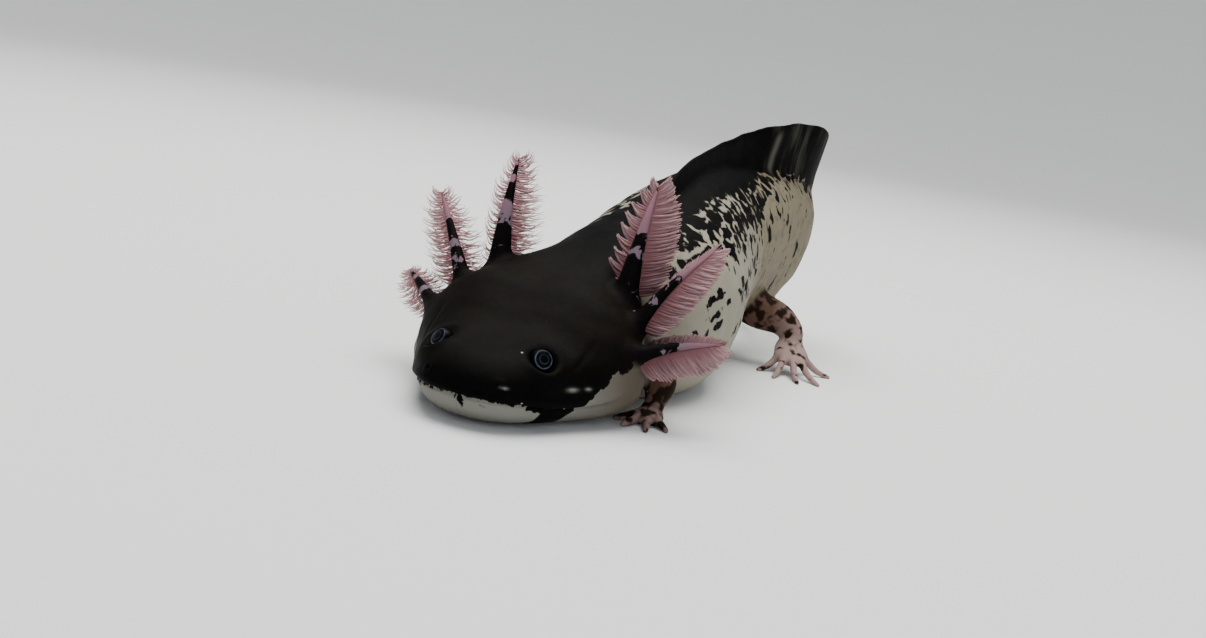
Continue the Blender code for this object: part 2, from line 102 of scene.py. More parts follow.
def new_material(name):
    """An empty material and its node tree."""
    made = bpy.data.materials.new(name)
    made.use_nodes = True
    made.node_tree.nodes.clear()
    return made, made.node_tree


def mesh_object(name, points, faces, material):
    """A smooth mesh from arrays of points (metres) and of equal-sided faces."""
    mesh = bpy.data.meshes.new(name)
    count, sides = faces.shape
    mesh.vertices.add(len(points))
    mesh.vertices.foreach_set("co", np.asarray(points, np.float32).ravel())
    mesh.loops.add(count * sides)
    mesh.loops.foreach_set("vertex_index", np.asarray(faces, np.int32).ravel())
    mesh.polygons.add(count)
    mesh.polygons.foreach_set("loop_start", np.arange(0, count * sides, sides, dtype=np.int32))
    mesh.update(calc_edges=True)
    mesh.validate()
    mesh.shade_smooth()
    mesh.materials.append(material)
    obj = bpy.data.objects.new(name, mesh)
    bpy.context.scene.collection.objects.link(obj)
    return obj


def rings_joined(first, around, bands):
    """The triangles between neighbouring rings of points, counted from the first point's number."""
    made = []
    for low in range(first, first + bands * around, around):
        high = low + around
        for k in range(around):
            m = (k + 1) % around
            made += [(low + k, high + k, high + m), (low + k, high + m, low + m)]
    return made


# Matt board gives the eye an even pale ground with soft shadows and no shine.
board, tree = new_material("matt_board")
board_shader = add(tree, "BsdfPrincipled",
                   {"Base Color": linear("#e4e5e6"), "Roughness": 0.9, "Specular IOR Level": 0.1})
add(tree, "OutputMaterial", {"Surface": board_shader})

bend = np.linspace(0, math.pi / 2, COVE_STEPS)
profile = [(0.0, 0.0), (COVE_FLAT * 0.5, 0.0)]
profile += [(COVE_FLAT + COVE_BEND * math.sin(a), COVE_BEND * (1 - math.cos(a))) for a in bend]
profile += [(COVE_FLAT + COVE_BEND, COVE_BEND + COVE_WALL)]
turns = np.arange(COVE_SIDES) * 2 * math.pi / COVE_SIDES
cove = np.array([[r * math.cos(a), r * math.sin(a), z] for r, z in profile[1:] for a in turns])
cove = np.vstack([[[0, 0, 0]], cove])
triangles = [(0, 1 + k, 1 + (k + 1) % COVE_SIDES) for k in range(COVE_SIDES)]
triangles += rings_joined(1, COVE_SIDES, len(profile) - 2)
floor = mesh_object("floor", cove, np.array(triangles), board)


def soft_box(name, place, aim, size, power, colour):
    """Hangs a square area light at a place, turned towards a point."""
    lamp = bpy.data.lights.new(name, "AREA")
    lamp.shape = "SQUARE"
    lamp.size = size
    lamp.energy = power
    lamp.color = linear(colour)[:3]
    made = bpy.data.objects.new(name, lamp)
    made.location = place
    made.rotation_euler = (Vector(aim) - Vector(place)).to_track_quat("-Z", "Y").to_euler()
    bpy.context.scene.collection.objects.link(made)


soft_box("overhead", (-0.05, 0.12, 0.8), (0.0, 0.0, 0.0), 0.8, 15.0, "#fffdf8")
soft_box("front_fill", (0.45, -0.6, 0.3), (0.0, -0.03, 0.02), 0.5, 1.2, "#eef4ff")
world = bpy.data.worlds.new("room")
world.use_nodes = True
world.node_tree.nodes["Background"].inputs["Color"].default_value = linear("#e2e8ec")
world.node_tree.nodes["Background"].inputs["Strength"].default_value = 0.42
bpy.context.scene.world = world


# ==== The body =================================================================================
# Trunk, head and tail: solid muscle under smooth moist skin. It is modelled as a field, millimetres
# in or out of the flesh at each point, on the same outline stations as the solid model.
FINE = 0.36  # mm between the points of the field

# Distance from the snout along the spine, half width, height of the back, of the belly and of the
# widest line, heading of the spine in degrees, squareness of the upper and lower half.
STATIONS = np.array([
    (0, 10.6, 10.6, 1.8, 6.2, -2, 2.2, 2.2),         # snout
    (5, 11.4, 12.2, 0.8, 6.6, -2, 2.2, 2.4),         # nostrils
    (15, 15.9, 15.4, -0.5, 7.2, -2, 2.2, 2.6),       # eyes
    (27, 21.8, 22.6, -0.3, 7.6, -1, 2.35, 2.6),      # cheeks
    (36, 20.6, 25.4, 0.4, 11, 3, 2.15, 2.5),         # gill roots
    (45, 18.8, 28.2, 0.4, 13, 14, 2, 2.5),           # neck
    (55, 19.2, 32.4, -1.0, 16, 15, 2, 2.7),          # shoulders
    (71, 18.4, 37.8, -0.9, 19, -4, 2, 2.7),          # chest
    (92, 15.4, 42.4, 4.6, 23, -2, 2, 2.2),           # belly
    (112, 12.4, 43.4, 9, 28, 8, 2, 1.85),            # hips
    (124, 9.8, 43, 10.6, 30.5, 10, 2.2, 1.7),        # vent
    (136, 7.4, 41.4, 11.8, 31, 7, 2.5, 1.7),         # root of the tail
    (150, 6.2, 37.6, 13.2, 28.5, -24, 2.5, 1.8),     # its bend
    (171, 4.6, 30.2, 11, 21.5, -70, 2.2, 2),
    (196, 3, 20, 6.6, 13.2, -90, 2, 2),
    (214, 1.8, 12.4, 4.2, 8.2, -98, 2, 2),
    (226, 0.7, 6.6, 3.4, 5, -100, 2, 2),             # tip of the tail
])
WIDE, BACK, BELLY, WIDEST, HEADING, SQUARE_TOP, SQUARE_LOW = range(1, 8)
BODY_LENGTH = STATIONS[-1, 0]
SNOUT_DEPTH = 11.0  # how far back the round of the snout reaches, seen from above
SNOUT_DROP = 6.0    # and seen from the side
SNOUT_POWER = 2.3
RUN_OUT = 15.0      # the spine's straight run past both ends, to measure from


def flow(at, along, values):
    """A smooth curve through given places: cubic pieces whose slopes come from the neighbours."""
    along, values = np.asarray(along, float), np.asarray(values, float)
    step = np.diff(along)
    rise = np.diff(values) / step
    slope = np.empty_like(values)
    slope[0], slope[-1] = rise[0], rise[-1]
    slope[1:-1] = (rise[:-1] * step[1:] + rise[1:] * step[:-1]) / (step[1:] + step[:-1])
    at = np.clip(np.asarray(at, float), along[0], along[-1])
    i = np.clip(np.searchsorted(along, at) - 1, 0, len(step) - 1)
    t = (at - along[i]) / step[i]
    return (
        values[i] * (1 + 2 * t) * (1 - t) ** 2
        + slope[i] * step[i] * t * (1 - t) ** 2
        + values[i + 1] * t * t * (3 - 2 * t)
        + slope[i + 1] * step[i] * t * t * (t - 1)
    )


def curve(pairs, at):
    """The smooth curve through (place, value) pairs."""
    places, values = np.array(pairs, float).T
    return flow(at, places, values)


HALF_STEPS = np.arange(0, BODY_LENGTH + 0.5, 0.5)
OUTLINE = np.stack([flow(HALF_STEPS, STATIONS[:, 0], STATIONS[:, c]) for c in range(8)])


def outline(column, along):
    """One column of the stations at places along the spine."""
    return np.interp(along, HALF_STEPS, OUTLINE[column])


spine_at = np.arange(-RUN_OUT, BODY_LENGTH + RUN_OUT, 0.5)
spine_turn = np.radians(outline(HEADING, spine_at + 0.25))
spine_walk = np.stack([np.sin(spine_turn), np.cos(spine_turn)], 1) * 0.5
spine_xy = np.vstack([[0, 0], np.cumsum(spine_walk, 0)[:-1]])
spine_xy -= spine_xy[int(RUN_OUT / 0.5)]


def spot(along, left, up):
    """The point at a distance along the spine, to its left and above the floor."""
    turn = math.radians(float(outline(HEADING, along)))
    x, y = (float(np.interp(along, spine_at, spine_xy[:, axis])) for axis in (0, 1))
    return np.array([x + math.cos(turn) * left, y - math.sin(turn) * left, up])


EYE_AT = {"left": 11.6, "right": 10.2}  # along the spine; the head is held a little askew
EYE_ANGLE = math.radians(46.0)  # round the section, from the side towards the top
EYE_RADIUS = 2.0
EYE_OVERLAP = 0.04  # how far the eye reaches into the skin
EYE_DEPTH = 1.0  # how deep the middle of the eye sits under the skin
STRAIGHT_OUT = 0.35  # how much of an eye's axis is the skin's own slope; the rest is its gaze
GAZE = {"left": np.array([0.75, -0.62, 0.26]), "right": np.array([-0.44, -0.82, 0.36])}
DISH_RADIUS = 2.45  # the shallow dish in the skin round the eye
DISH_OUT = 1.45     # its middle, along the eye's axis


def eye_place(word):
    """The middle of an eye."""
    at, side = EYE_AT[word], 1 if word == "left" else -1
    power = 2 / float(outline(SQUARE_TOP, at))
    rounded = [(1 - max(1 - at / d, 0) ** SNOUT_POWER) ** (1 / SNOUT_POWER)
               for d in (SNOUT_DEPTH, SNOUT_DROP)]
    middle = float(outline(WIDEST, at))
    wide = float(outline(WIDE, at)) * rounded[0]
    tall = (float(outline(BACK, at)) - middle) * rounded[1]
    surface = np.array([side * wide * math.cos(EYE_ANGLE) ** power, tall * math.sin(EYE_ANGLE) ** power])
    left, up = surface * (1 - EYE_DEPTH / np.linalg.norm(surface))
    return spot(at, left, middle + up)


# The spine starts at its own zero. The solid eye shows where the row's frame puts it.
low_corner, high_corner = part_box("eye_left")
spine_xy += np.array((low_corner + high_corner) / 2)[:2] / MM - eye_place("left")[:2]
EYES = {word: eye_place(word) for word in EYE_AT}

LOW = np.array([-54.0, -89.0, -2.0])
HIGH = np.array([54.0, 89.0, 59.0])
BLOCK = 4  # points of the fine grid along one side of a block
GRID = (np.ceil((HIGH - LOW) / (FINE * BLOCK)).astype(int)) * BLOCK


def map_of_the_spine():
    """For each column of the grid, the place along the spine that is nearest, and how far left."""
    x = LOW[0] + np.arange(GRID[0]) * FINE
    y = LOW[1] + np.arange(GRID[1]) * FINE
    columns = np.stack(np.meshgrid(x, y, indexing="ij"), -1).reshape(-1, 2)
    turn = np.radians(outline(HEADING, spine_at))
    ahead = np.stack([np.sin(turn), np.cos(turn)], 1)
    along, left = np.empty(len(columns)), np.empty(len(columns))
    for start in range(0, len(columns), 20000):
        part = slice(start, start + 20000)
        gap = (columns[part, None, :] - spine_xy[None]) ** 2
        nearest = gap.sum(2).argmin(1)
        away = columns[part] - spine_xy[nearest]
        along[part] = spine_at[nearest] + (away * ahead[nearest]).sum(1)
        left[part] = away[:, 0] * ahead[nearest, 1] - away[:, 1] * ahead[nearest, 0]
    return along.reshape(GRID[:2]), left.reshape(GRID[:2])


ALONG_MAP, LEFT_MAP = map_of_the_spine()


def place(points):
    """Where points are along the spine and to its left, read from the map."""
    at = np.clip((points[:, :2] - LOW[:2]) / FINE, 0, GRID[:2] - 1.001)
    i, j = at.astype(int).T
    u, v = (at - at.astype(int)).T
    corners = ((i, j, (1 - u) * (1 - v)), (i + 1, j, u * (1 - v)),
               (i, j + 1, (1 - u) * v), (i + 1, j + 1, u * v))
    return [sum(table[a, b] * w for a, b, w in corners) for table in (ALONG_MAP, LEFT_MAP)]


def trunk_distance(along, left, up):
    """Millimetres outside the plain body: a rounded section that closes over the snout."""
    wide, back, belly, middle = (outline(c, along) for c in (WIDE, BACK, BELLY, WIDEST))
    above = up > middle
    tall = np.where(above, back - middle, middle - belly)
    power = np.where(above, outline(SQUARE_TOP, along), outline(SQUARE_LOW, along))
    u, v = np.abs(left) / wide, np.abs(up - middle) / tall
    ring = np.maximum((u ** power + v ** power) ** (1 / power), 0.02)
    slope = np.hypot((u / ring) ** (power - 1) / wide, (v / ring) ** (power - 1) / tall)
    depth = SNOUT_DROP + (SNOUT_DEPTH - SNOUT_DROP) * (u / ring) ** 2
    front = np.maximum(1 - along / depth, 0)
    shell = (ring ** SNOUT_POWER + front ** SNOUT_POWER) ** (1 / SNOUT_POWER)
    slope = slope * (ring / shell) ** (SNOUT_POWER - 1)
    slope = np.hypot(slope, (front / shell) ** (SNOUT_POWER - 1) / depth)
    distance = (shell - 1) / np.maximum(slope, 0.02)
    past = np.maximum(along - BODY_LENGTH, 0)
    return np.where(past > 0, np.hypot(np.maximum(distance, 0), past), distance)


def eye_axis(word):
    """Where an eye looks: the way it is turned, drawn a little to straight out of the head."""
    probes = EYES[word] + np.vstack([np.eye(3), -np.eye(3)]) * 0.5
    gaps = trunk_distance(*place(probes), probes[:, 2])
    slope = gaps[:3] - gaps[3:]
    axis = slope / np.linalg.norm(slope) * STRAIGHT_OUT + GAZE[word]
    return axis / np.linalg.norm(axis)


EYE_AXES = {word: eye_axis(word) for word in EYES}


def bell(value, centre, width):
    return np.exp(-(((value - centre) / width) ** 2))


def ramp(value, low, high):
    """Rises smoothly from 0 at low to 1 at high."""
    t = np.clip((value - low) / (high - low), 0, 1)
    return t * t * (3 - 2 * t)


def window(value, low, high, soft):
    return ramp(value, low - soft, low + soft) * (1 - ramp(value, high - soft, high + soft))


MOUTH = ((-3, 5.6), (4, 5.2), (11, 4.3), (17, 4.4), (23, 6.2), (26, 8.2))
CHEEK_FOLD = ((11, 9.8), (15.5, 11.5), (20, 14.7), (23, 17.5))
NOSTRIL = (2.6, 6.4, 8.0)  # along, left, up
GROOVES = np.arange(61.0, 110.0, 4.6)


def relief(points, along, left, up):
    """Millimetres by which the body stands proud of its plain form."""
    side = np.abs(left)
    back, belly = outline(BACK, along), outline(BELLY, along)
    share = (up - belly) / (back - belly)
    raised = np.zeros(len(points))
    head = along < 48
    s, x, z = along[head], side[head], up[head]
    over = z - curve(MOUTH, s)
    lips = window(s, -6, 22.5, 2.0)
    made = lips * (0.42 * bell(over, 1.0, 0.9) - 0.75 * bell(over, 0, 0.32) - 0.3 * bell(over, -1.0, 1.0))
    for centre in EYES.values():
        far = np.linalg.norm(points[head] - centre, axis=1)
        made += 0.38 * bell(far, 3.7, 1.3)
    made -= 0.4 * bell(x, 0, 4.0) * bell(s, 15, 7) * ramp(z, 11, 14)
    made += 0.6 * bell(x, 10.5, 5.0) * bell(s, 25, 6.5) * ramp(z, 12, 18)
    made -= 0.3 * bell(x, 0, 2.2) * window(s, 22, 44, 4) * ramp(z, 16, 20)
    crease = z - curve(CHEEK_FOLD, s)
    on = window(s, 12.5, 20, 1.8) * ramp(x, 10, 13)
    made += on * (0.12 * bell(crease, 0.7, 0.7) - 0.17 * bell(crease, -0.1, 0.4))
    nostril = np.sqrt((s - NOSTRIL[0]) ** 2 + (x - NOSTRIL[1]) ** 2 + (z - NOSTRIL[2]) ** 2)
    made += 0.16 * bell(nostril, 0.95, 0.5) - 0.7 * np.exp(-((nostril / 0.45) ** 2))
    throat = 1 - ramp(z, 6, 12)
    made += throat * (0.3 * bell(s, 30.4, 1.4) - 0.4 * bell(s, 32.2, 0.8))
    raised[head] = made
    flanks = window(share, 0.22, 0.74, 0.14)
    grooves = sum(bell(along + 2.5 * share, at, 0.75) for at in GROOVES)
    raised -= 0.2 * grooves * flanks
    lumps = np.sin(along * 0.61 + 1.3 * np.sin(up * 0.37)) * np.sin(up * 0.53 + 0.9 * np.sin(left * 0.41 + 2))
    return raised + 0.1 * lumps * ramp(up, 0.5, 4)


# ==== The fins =================================================================================
# One soft blade of skin stands on the back from the shoulders to the tip of the tail, and another
# under the tail. Both are thick at the foot and thin at the edge, with slow waves.
FIN_ABOVE = ((56, 0.6), (66, 3.2), (76, 4.4), (90, 4.3), (104, 5.9), (114, 8.4), (124, 11.2), (134, 13.2),
             (142, 13.6), (152, 12.2), (171, 9), (196, 6.6), (214, 4), (226, 1))
FIN_BELOW = ((128, 0.8), (140, 3), (154, 6), (171, 8), (196, 7.4), (214, 4.4), (226, 1))
FIN_LEAN = ((110, 0), (141, 6.2), (165, 3.4), (195, 0))
FIN_FOOT_LEAN = 0.55  # the share of it by which the foot has left the middle of the back
FIN_HALF = ((0, 1.2), (0.3, 0.7), (1, 0.4))  # half thickness from the foot to the edge
FIN_ROUND = 0.3
FIN_BURIED = 3.0


def fin_distance(along, left, up, upper):
    """Millimetres outside the fin on the back, or outside the one under the tail."""
    base = outline(BACK if upper else BELLY, along)
    height = curve(FIN_ABOVE if upper else FIN_BELOW, along)
    rise = (up - base) if upper else (base - up)
    share = np.clip(rise / height, 0, 1)
    half = np.interp(share, *np.array(FIN_HALF).T)
    lean = curve(FIN_LEAN, along) * (FIN_FOOT_LEAN + (1 - FIN_FOOT_LEAN) * share) if upper else 0.0
    wave = 0.3 * share * np.sin(along * 0.42 + (0 if upper else 2)) * ramp(height, 3, 8)
    scallop = 0.12 * np.sin(along * 0.7) * ramp(height, 3, 8)
    sideways = np.abs(left - lean - wave) - half
    outward = np.maximum(rise - height - scallop, -FIN_BURIED - rise)
    first, last = (56, 226) if upper else (128, 226)
    lengthways = np.maximum(first - along, along - last)
    gaps = np.stack([sideways, outward, lengthways]) + FIN_ROUND
    return np.minimum(gaps.max(0), 0) + np.linalg.norm(np.maximum(gaps, 0), axis=0) - FIN_ROUND


# ==== The limbs ================================================================================
# Short soft limbs, bent as in a slow walk: four fingers in front, five toes behind, no claws. Each is
# a chain of round rods that grows out of the body, on a flat palm whose digits fan out.
# A path is (left of the midline, back from the snout, height). The palm has a height and a slope: the
# hand lies flat, the foot stands on its toes. A digit is (degrees outwards from straight ahead,
# length), and the arch is the height along it.
ARM = {
    "path": ((11, 47, 11), (17, 47, 9.6), (20.6, 45.6, 7), (20.9, 43.8, 4.2), (20.9, 41.8, 1.8)),
    "radii": ((0, 3.7), (0.3, 3.3), (0.6, 2.8), (0.75, 2.5), (0.84, 2.1), (1, 1.6)),
    "palm": (2.9, 3.2, 1.3),
    "stands": (1.1, 0),
    "digits": ((-30, 6.6), (0, 8.2), (30, 8.4), (62, 6.8)),
    "arch": ((0, 1), (0.35, 1.15), (0.7, 0.8), (1, 0.4)),
}
LEG = {
    "path": ((3, 116, 14.6), (9, 116.6, 12.2), (15, 118.2, 10.6), (17.6, 118.8, 8.2), (18, 117.6, 5.8)),
    "radii": ((0, 4.6), (0.3, 4.4), (0.6, 3.6), (0.78, 2.9), (0.88, 2.5), (1, 2)),
    "palm": (3.8, 4.2, 1.4),
    "stands": (4.6, 34),
    "digits": ((-22, 8.4), (12, 11.2), (38, 12.6), (60, 12.8), (120, 9.6)),
    "arch": ((0, 5), (0.35, 3.6), (0.72, 1.1), (1, 0.3)),
}
DIGIT_RADII = ((0, 0.9), (0.35, 0.85), (0.7, 0.7), (1, 0.45))
DIGIT_POINTS = 9
LIMB_POINTS = 21
FAR = 1000.0


def rod(points, path, radii):
    """Distance to a chain of tapered round rods, and where along the chain the nearest point is."""
    best, where = np.full(len(points), FAR), np.zeros(len(points))
    count = len(path) - 1
    for k in range(count):
        step = path[k + 1] - path[k]
        t = np.clip((points - path[k]) @ step / (step @ step), 0, 1)
        gap = np.linalg.norm(points - path[k] - t[:, None] * step, axis=1)
        gap -= radii[k] + (radii[k + 1] - radii[k]) * t
        nearer = gap < best
        best[nearer] = gap[nearer]
        where[nearer] = (k + t[nearer]) / count
    return best, where


def curve_through(points, count):
    """Points evenly spread on a smooth curve through a few given ones."""
    points = np.array(points, float)
    at = np.concatenate([[0], np.cumsum(np.linalg.norm(np.diff(points, axis=0), axis=1))])
    wanted = np.linspace(0, at[-1], count)
    return np.stack([flow(wanted, at, points[:, i]) for i in range(3)], 1)


def limb_form(limb, side):
    """The limb's path and radii, the palm's middle, axes and half sizes, and the digits' paths."""
    path = curve_through([spot(back, side * left, up) for left, back, up in limb["path"]], LIMB_POINTS)
    at = limb["path"][-1][1]
    left = spot(at, side, 0) - spot(at, 0, 0)
    back = np.array([-left[1], left[0], 0]) * side
    fan = [math.radians(turn) for turn, _ in limb["digits"]]
    middle = sum(fan) / len(fan)
    forward = left * math.sin(middle) - back * math.cos(middle)
    wide, long, thick = limb["palm"]
    height, slope = limb["stands"]
    across = np.cross(forward, (0, 0, 1))
    downhill = forward * math.cos(math.radians(slope)) - np.array([0, 0, math.sin(math.radians(slope))])
    centre = np.array([path[-1][0], path[-1][1], height]) + forward * long * 0.5
    start = centre * (1, 1, 0) - forward * long * 0.2
    digits = []
    for turn, (_, reach) in zip(fan, limb["digits"]):
        out = left * math.sin(turn) - back * math.cos(turn)
        key = [start + out * reach * share + np.array([0, 0, z]) for share, z in limb["arch"]]
        digits.append(curve_through(key, DIGIT_POINTS))
    return {
        "path": path, "radii": curve(limb["radii"], np.linspace(0, 1, LIMB_POINTS)), "centre": centre,
        "axes": np.stack([across, downhill, np.cross(across, downhill)]),
        "half": np.array([wide, long, thick]), "digits": digits,
    }


# How softly each form runs into the next: the width of the fillet in mm.
FILLET = {"digit": 1.1, "foot": 1.6, "fin": 1.6, "limb": 3.0, "stalk": 2.2, "dish": 0.9}
LIMBS = [limb_form(limb, side) for limb in (ARM, LEG) for side in (1, -1)]


def soft_union(a, b, blend):
    """The nearer of two distances, with a fillet where they meet."""
    meet = np.maximum(blend - np.abs(a - b), 0) / blend
    return np.minimum(a, b) - meet * meet * blend / 4


def foot_distance(points, limb):
    """Millimetres outside a palm and its digits."""
    local = (points - limb["centre"]) @ limb["axes"].T / limb["half"]
    size = np.maximum(np.linalg.norm(local, axis=1), 0.05)
    distance = (size - 1) * size / np.maximum(np.linalg.norm(local / limb["half"], axis=1), 0.05)
    radii = np.interp(np.linspace(0, 1, DIGIT_POINTS), *np.array(DIGIT_RADII).T)
    for digit in limb["digits"]:
        distance = soft_union(distance, rod(points, digit, radii)[0], FILLET["digit"])
    return distance


# ==== The gill stalks ==========================================================================
# Three soft stalks on each side of the neck, round and tapered, that grow out of the head. They
# carry the filaments, which are made after the skin.
# Place along the spine and height of the root, reach to the tip (left, back, up), how far the rows of
# filaments hang from straight back towards straight down, how long they are and how thick the stalk is.
GILLS = {
    "upper": ((36.5, 22.4), (1.5, 7.5, 20.6), 0, 1.0, 1.0),
    "middle": ((32.5, 18), (10.8, 8, 15.6), 42, 0.96, 0.75),
    "lower": ((28, 13.2), (12.2, 10.4, 3.8), 46, 0.88, 0.7),
}
GILL_LEAN = -0.09  # how far a tip leans to the left for its height, as the head is held askew
STALK_RADIUS = ((0, 2.5), (0.3, 1.7), (0.6, 1.0), (0.85, 0.5), (1, 0.2))
STALK_SHARE = 0.93  # the filaments fill the rest of the reach
STALK_BOW = 1.2
STALK_SINK = 2.5
STALK_POINTS = 17
# The stretches of each stalk that have lost the black, in shares of its length.
PALE_STRETCHES = {
    ("left", "upper"): ((0.38, 0.42), (0.56, 1.0)), ("left", "middle"): ((0.3, 0.34), (0.6, 1.0)),
    ("left", "lower"): ((0.36, 0.42), (0.52, 1.0)),
    ("right", "upper"): ((0.44, 0.62), (0.77, 0.84), (0.94, 1.0)),
    ("right", "middle"): ((0.22, 0.27), (0.38, 0.46), (0.68, 1.0)),
    ("right", "lower"): ((0.3, 0.36), (0.62, 0.7), (0.85, 1.0)),
}


def flank(along, side, height):
    """The point of the body's side at a height."""
    middle = float(outline(WIDEST, along))
    above = height > middle
    tall = float(outline(BACK, along)) - middle if above else middle - float(outline(BELLY, along))
    power = float(outline(SQUARE_TOP if above else SQUARE_LOW, along))
    share = (1 - (abs(height - middle) / tall) ** power) ** (1 / power)
    return spot(along, side * share * float(outline(WIDE, along)), height)


def stalk_form(name, side):
    """The stalk's middle line and radii, with its directions along, to the rear and across."""
    (at, height), reach, hang, fullness, thickness = GILLS[name]
    root = flank(at, side, height)
    reach = np.array([reach[0] * side + GILL_LEAN * reach[2], reach[1], reach[2]], float)
    along = reach / np.linalg.norm(reach)
    back = np.array([0, 1, 0]) - along * along[1]
    back /= np.linalg.norm(back)
    down = np.array([0, 0, -1]) + along * along[2]
    lower = down - back * (down @ back)
    lower /= np.linalg.norm(lower)
    rear = back * math.cos(math.radians(hang)) + lower * math.sin(math.radians(hang))
    across = np.cross(along, rear)
    t = np.linspace(0, 1, STALK_POINTS)[:, None]
    path = root - along * STALK_SINK + (reach * STALK_SHARE + along * STALK_SINK) * t
    path = path - rear * STALK_BOW * np.sin(math.pi * t)
    return {"path": path, "radii": curve(STALK_RADIUS, t[:, 0]) * thickness, "along": along, "rear": rear,
            "across": across / np.linalg.norm(across), "fullness": fullness}


STALKS = {(word, name): stalk_form(name, side)
          for word, side in (("left", 1), ("right", -1)) for name in GILLS}


# ==== The skin =================================================================================
# One skin without a seam over body, fins, limbs and stalks: the forms above run into each other with
# soft fillets, and the surface is drawn off the joined field as a mesh.


def keep(found, kind, near, gap, where):
    """Takes over the distances of one form where it is the nearest of its kind so far."""
    index = np.flatnonzero(near)
    nearer = gap < found[kind][index]
    found[kind][index[nearer]] = gap[nearer]
    found[kind + "_at"][index[nearer]] = where[nearer]


def boxed(points, path, margin):
    """Which points lie in the box round a path, with a margin."""
    return np.all((points > path.min(0) - margin) & (points < path.max(0) + margin), axis=1)


def parts(points):
    """The distances to the body, fins, limbs, feet and gill stalks, and where along them points are."""
    along, left = place(points)
    up = points[:, 2]
    found = {"along": along, "left": left, "up": up}
    found["body"] = trunk_distance(along, left, up) - relief(points, along, left, up)
    found["fin"] = np.minimum(fin_distance(along, left, up, True), fin_distance(along, left, up, False))
    for kind in ("limb", "foot", "stalk"):
        found[kind] = np.full(len(points), FAR)
        found[kind + "_at"] = np.zeros(len(points))
    for limb in LIMBS:
        near = boxed(points, limb["path"], 9)
        keep(found, "limb", near, *rod(points[near], limb["path"], limb["radii"]))
        near = boxed(points, np.vstack([limb["path"][-1:], *limb["digits"]]), 4)
        keep(found, "foot", near, foot_distance(points[near], limb), np.ones(near.sum()))
    for number, stalk in enumerate(STALKS.values()):
        near = boxed(points, stalk["path"], 6)
        gap, where = rod(points[near], stalk["path"], stalk["radii"])
        keep(found, "stalk", near, gap, where + 2 * number)  # the whole twos tell the stalks apart
    return found


def flesh(points):
    """Millimetres outside the flesh. Negative inside."""
    found = parts(points)
    distance = soft_union(found["body"], found["fin"], FILLET["fin"])
    limbs = soft_union(found["limb"], found["foot"], FILLET["foot"])
    distance = soft_union(distance, limbs, FILLET["limb"])
    distance = soft_union(distance, found["stalk"], FILLET["stalk"])
    for word, centre in EYES.items():
        dish = DISH_RADIUS - np.linalg.norm(points - centre - EYE_AXES[word] * DISH_OUT, axis=1)
        distance = -soft_union(-distance, -dish, FILLET["dish"])
        socket = EYE_RADIUS - EYE_OVERLAP - np.linalg.norm(points - centre, axis=1)
        distance = np.maximum(distance, socket)
    return np.maximum(distance, -found["up"])


def fill_field():
    """The field on the fine grid. Blocks that the surface can't cross hold their middle's value."""
    blocks = GRID // BLOCK
    index = np.stack(np.meshgrid(*[np.arange(n) for n in blocks], indexing="ij"), -1).reshape(-1, 3)
    middles = LOW + (index * BLOCK + (BLOCK - 1) / 2) * FINE
    coarse = np.concatenate([flesh(part) for part in np.array_split(middles, 12)])
    field = coarse.reshape(blocks).astype(np.float32)
    for axis in range(3):
        field = np.repeat(field, BLOCK, axis)
    close = index[np.abs(coarse) < BLOCK * FINE * 1.6]
    within = np.stack(np.meshgrid(*[np.arange(BLOCK)] * 3, indexing="ij"), -1).reshape(-1, 3)
    for part in np.array_split(close, 24):
        cells = (part[:, None] * BLOCK + within[None]).reshape(-1, 3)
        field[tuple(cells.T)] = flesh(LOW + cells * FINE)
    return field


def draw_surface(field):
    """Points and quads of the zero surface: one point in each cell that it crosses."""
    sizes = np.array(field.shape)
    places, quads = [], []
    for axis in range(3):
        first = np.moveaxis(field, axis, 0)[:-1]
        second = np.moveaxis(field, axis, 0)[1:]
        crossed = np.argwhere((first < 0) != (second < 0))
        a, b = first[tuple(crossed.T)], second[tuple(crossed.T)]
        others = [i for i in range(3) if i != axis]
        start = np.empty_like(crossed)
        start[:, axis] = crossed[:, 0]
        start[:, others[0]], start[:, others[1]] = crossed[:, 1], crossed[:, 2]
        point = start.astype(float)
        point[:, axis] += a / (a - b)
        corners = []
        for p, q in ((0, 0), (-1, 0), (-1, -1), (0, -1)):
            cell = start.copy()
            cell[:, others[0]] += p
            cell[:, others[1]] += q
            corners.append(np.ravel_multi_index(tuple(cell.T), sizes))
        quad = np.stack(corners, 1)
        flip = (a < 0) == (axis != 1)
        quad[flip] = quad[flip][:, ::-1]
        quads.append(quad)
        places.append(np.repeat(point, 4, 0))
    quads, places = np.concatenate(quads), np.concatenate(places)
    _, index = np.unique(quads.ravel(), return_inverse=True)
    count = np.bincount(index)
    points = np.stack([np.bincount(index, places[:, i]) / count for i in range(3)], 1)
    return LOW + points * FINE, index.reshape(-1, 4)


def relax(points, quads, share):
    """Moves each point a share of the way to the middle of its neighbours."""
    ends = np.concatenate([quads[:, [k, (k + 1) % 4]] for k in range(4)])
    total = np.stack([np.bincount(ends[:, 0], points[ends[:, 1], i], len(points))
                      + np.bincount(ends[:, 1], points[ends[:, 0], i], len(points)) for i in range(3)], 1)
    count = np.bincount(ends.ravel(), minlength=len(points))
    return points + (total / count[:, None] - points) * share


def settle(points):
    """Moves points onto the true surface, along the field's slope."""
    reach = 0.04
    here = flesh(points)
    slope = np.stack([flesh(points + np.eye(3)[i] * reach) - here for i in range(3)], 1) / reach
    size = np.maximum((slope ** 2).sum(1), 0.3)
    return points - slope * np.clip(here / size, -FINE / 2, FINE / 2)[:, None]


points, quads = draw_surface(fill_field())
for _ in range(2):
    points = settle(relax(points, quads, 0.6))


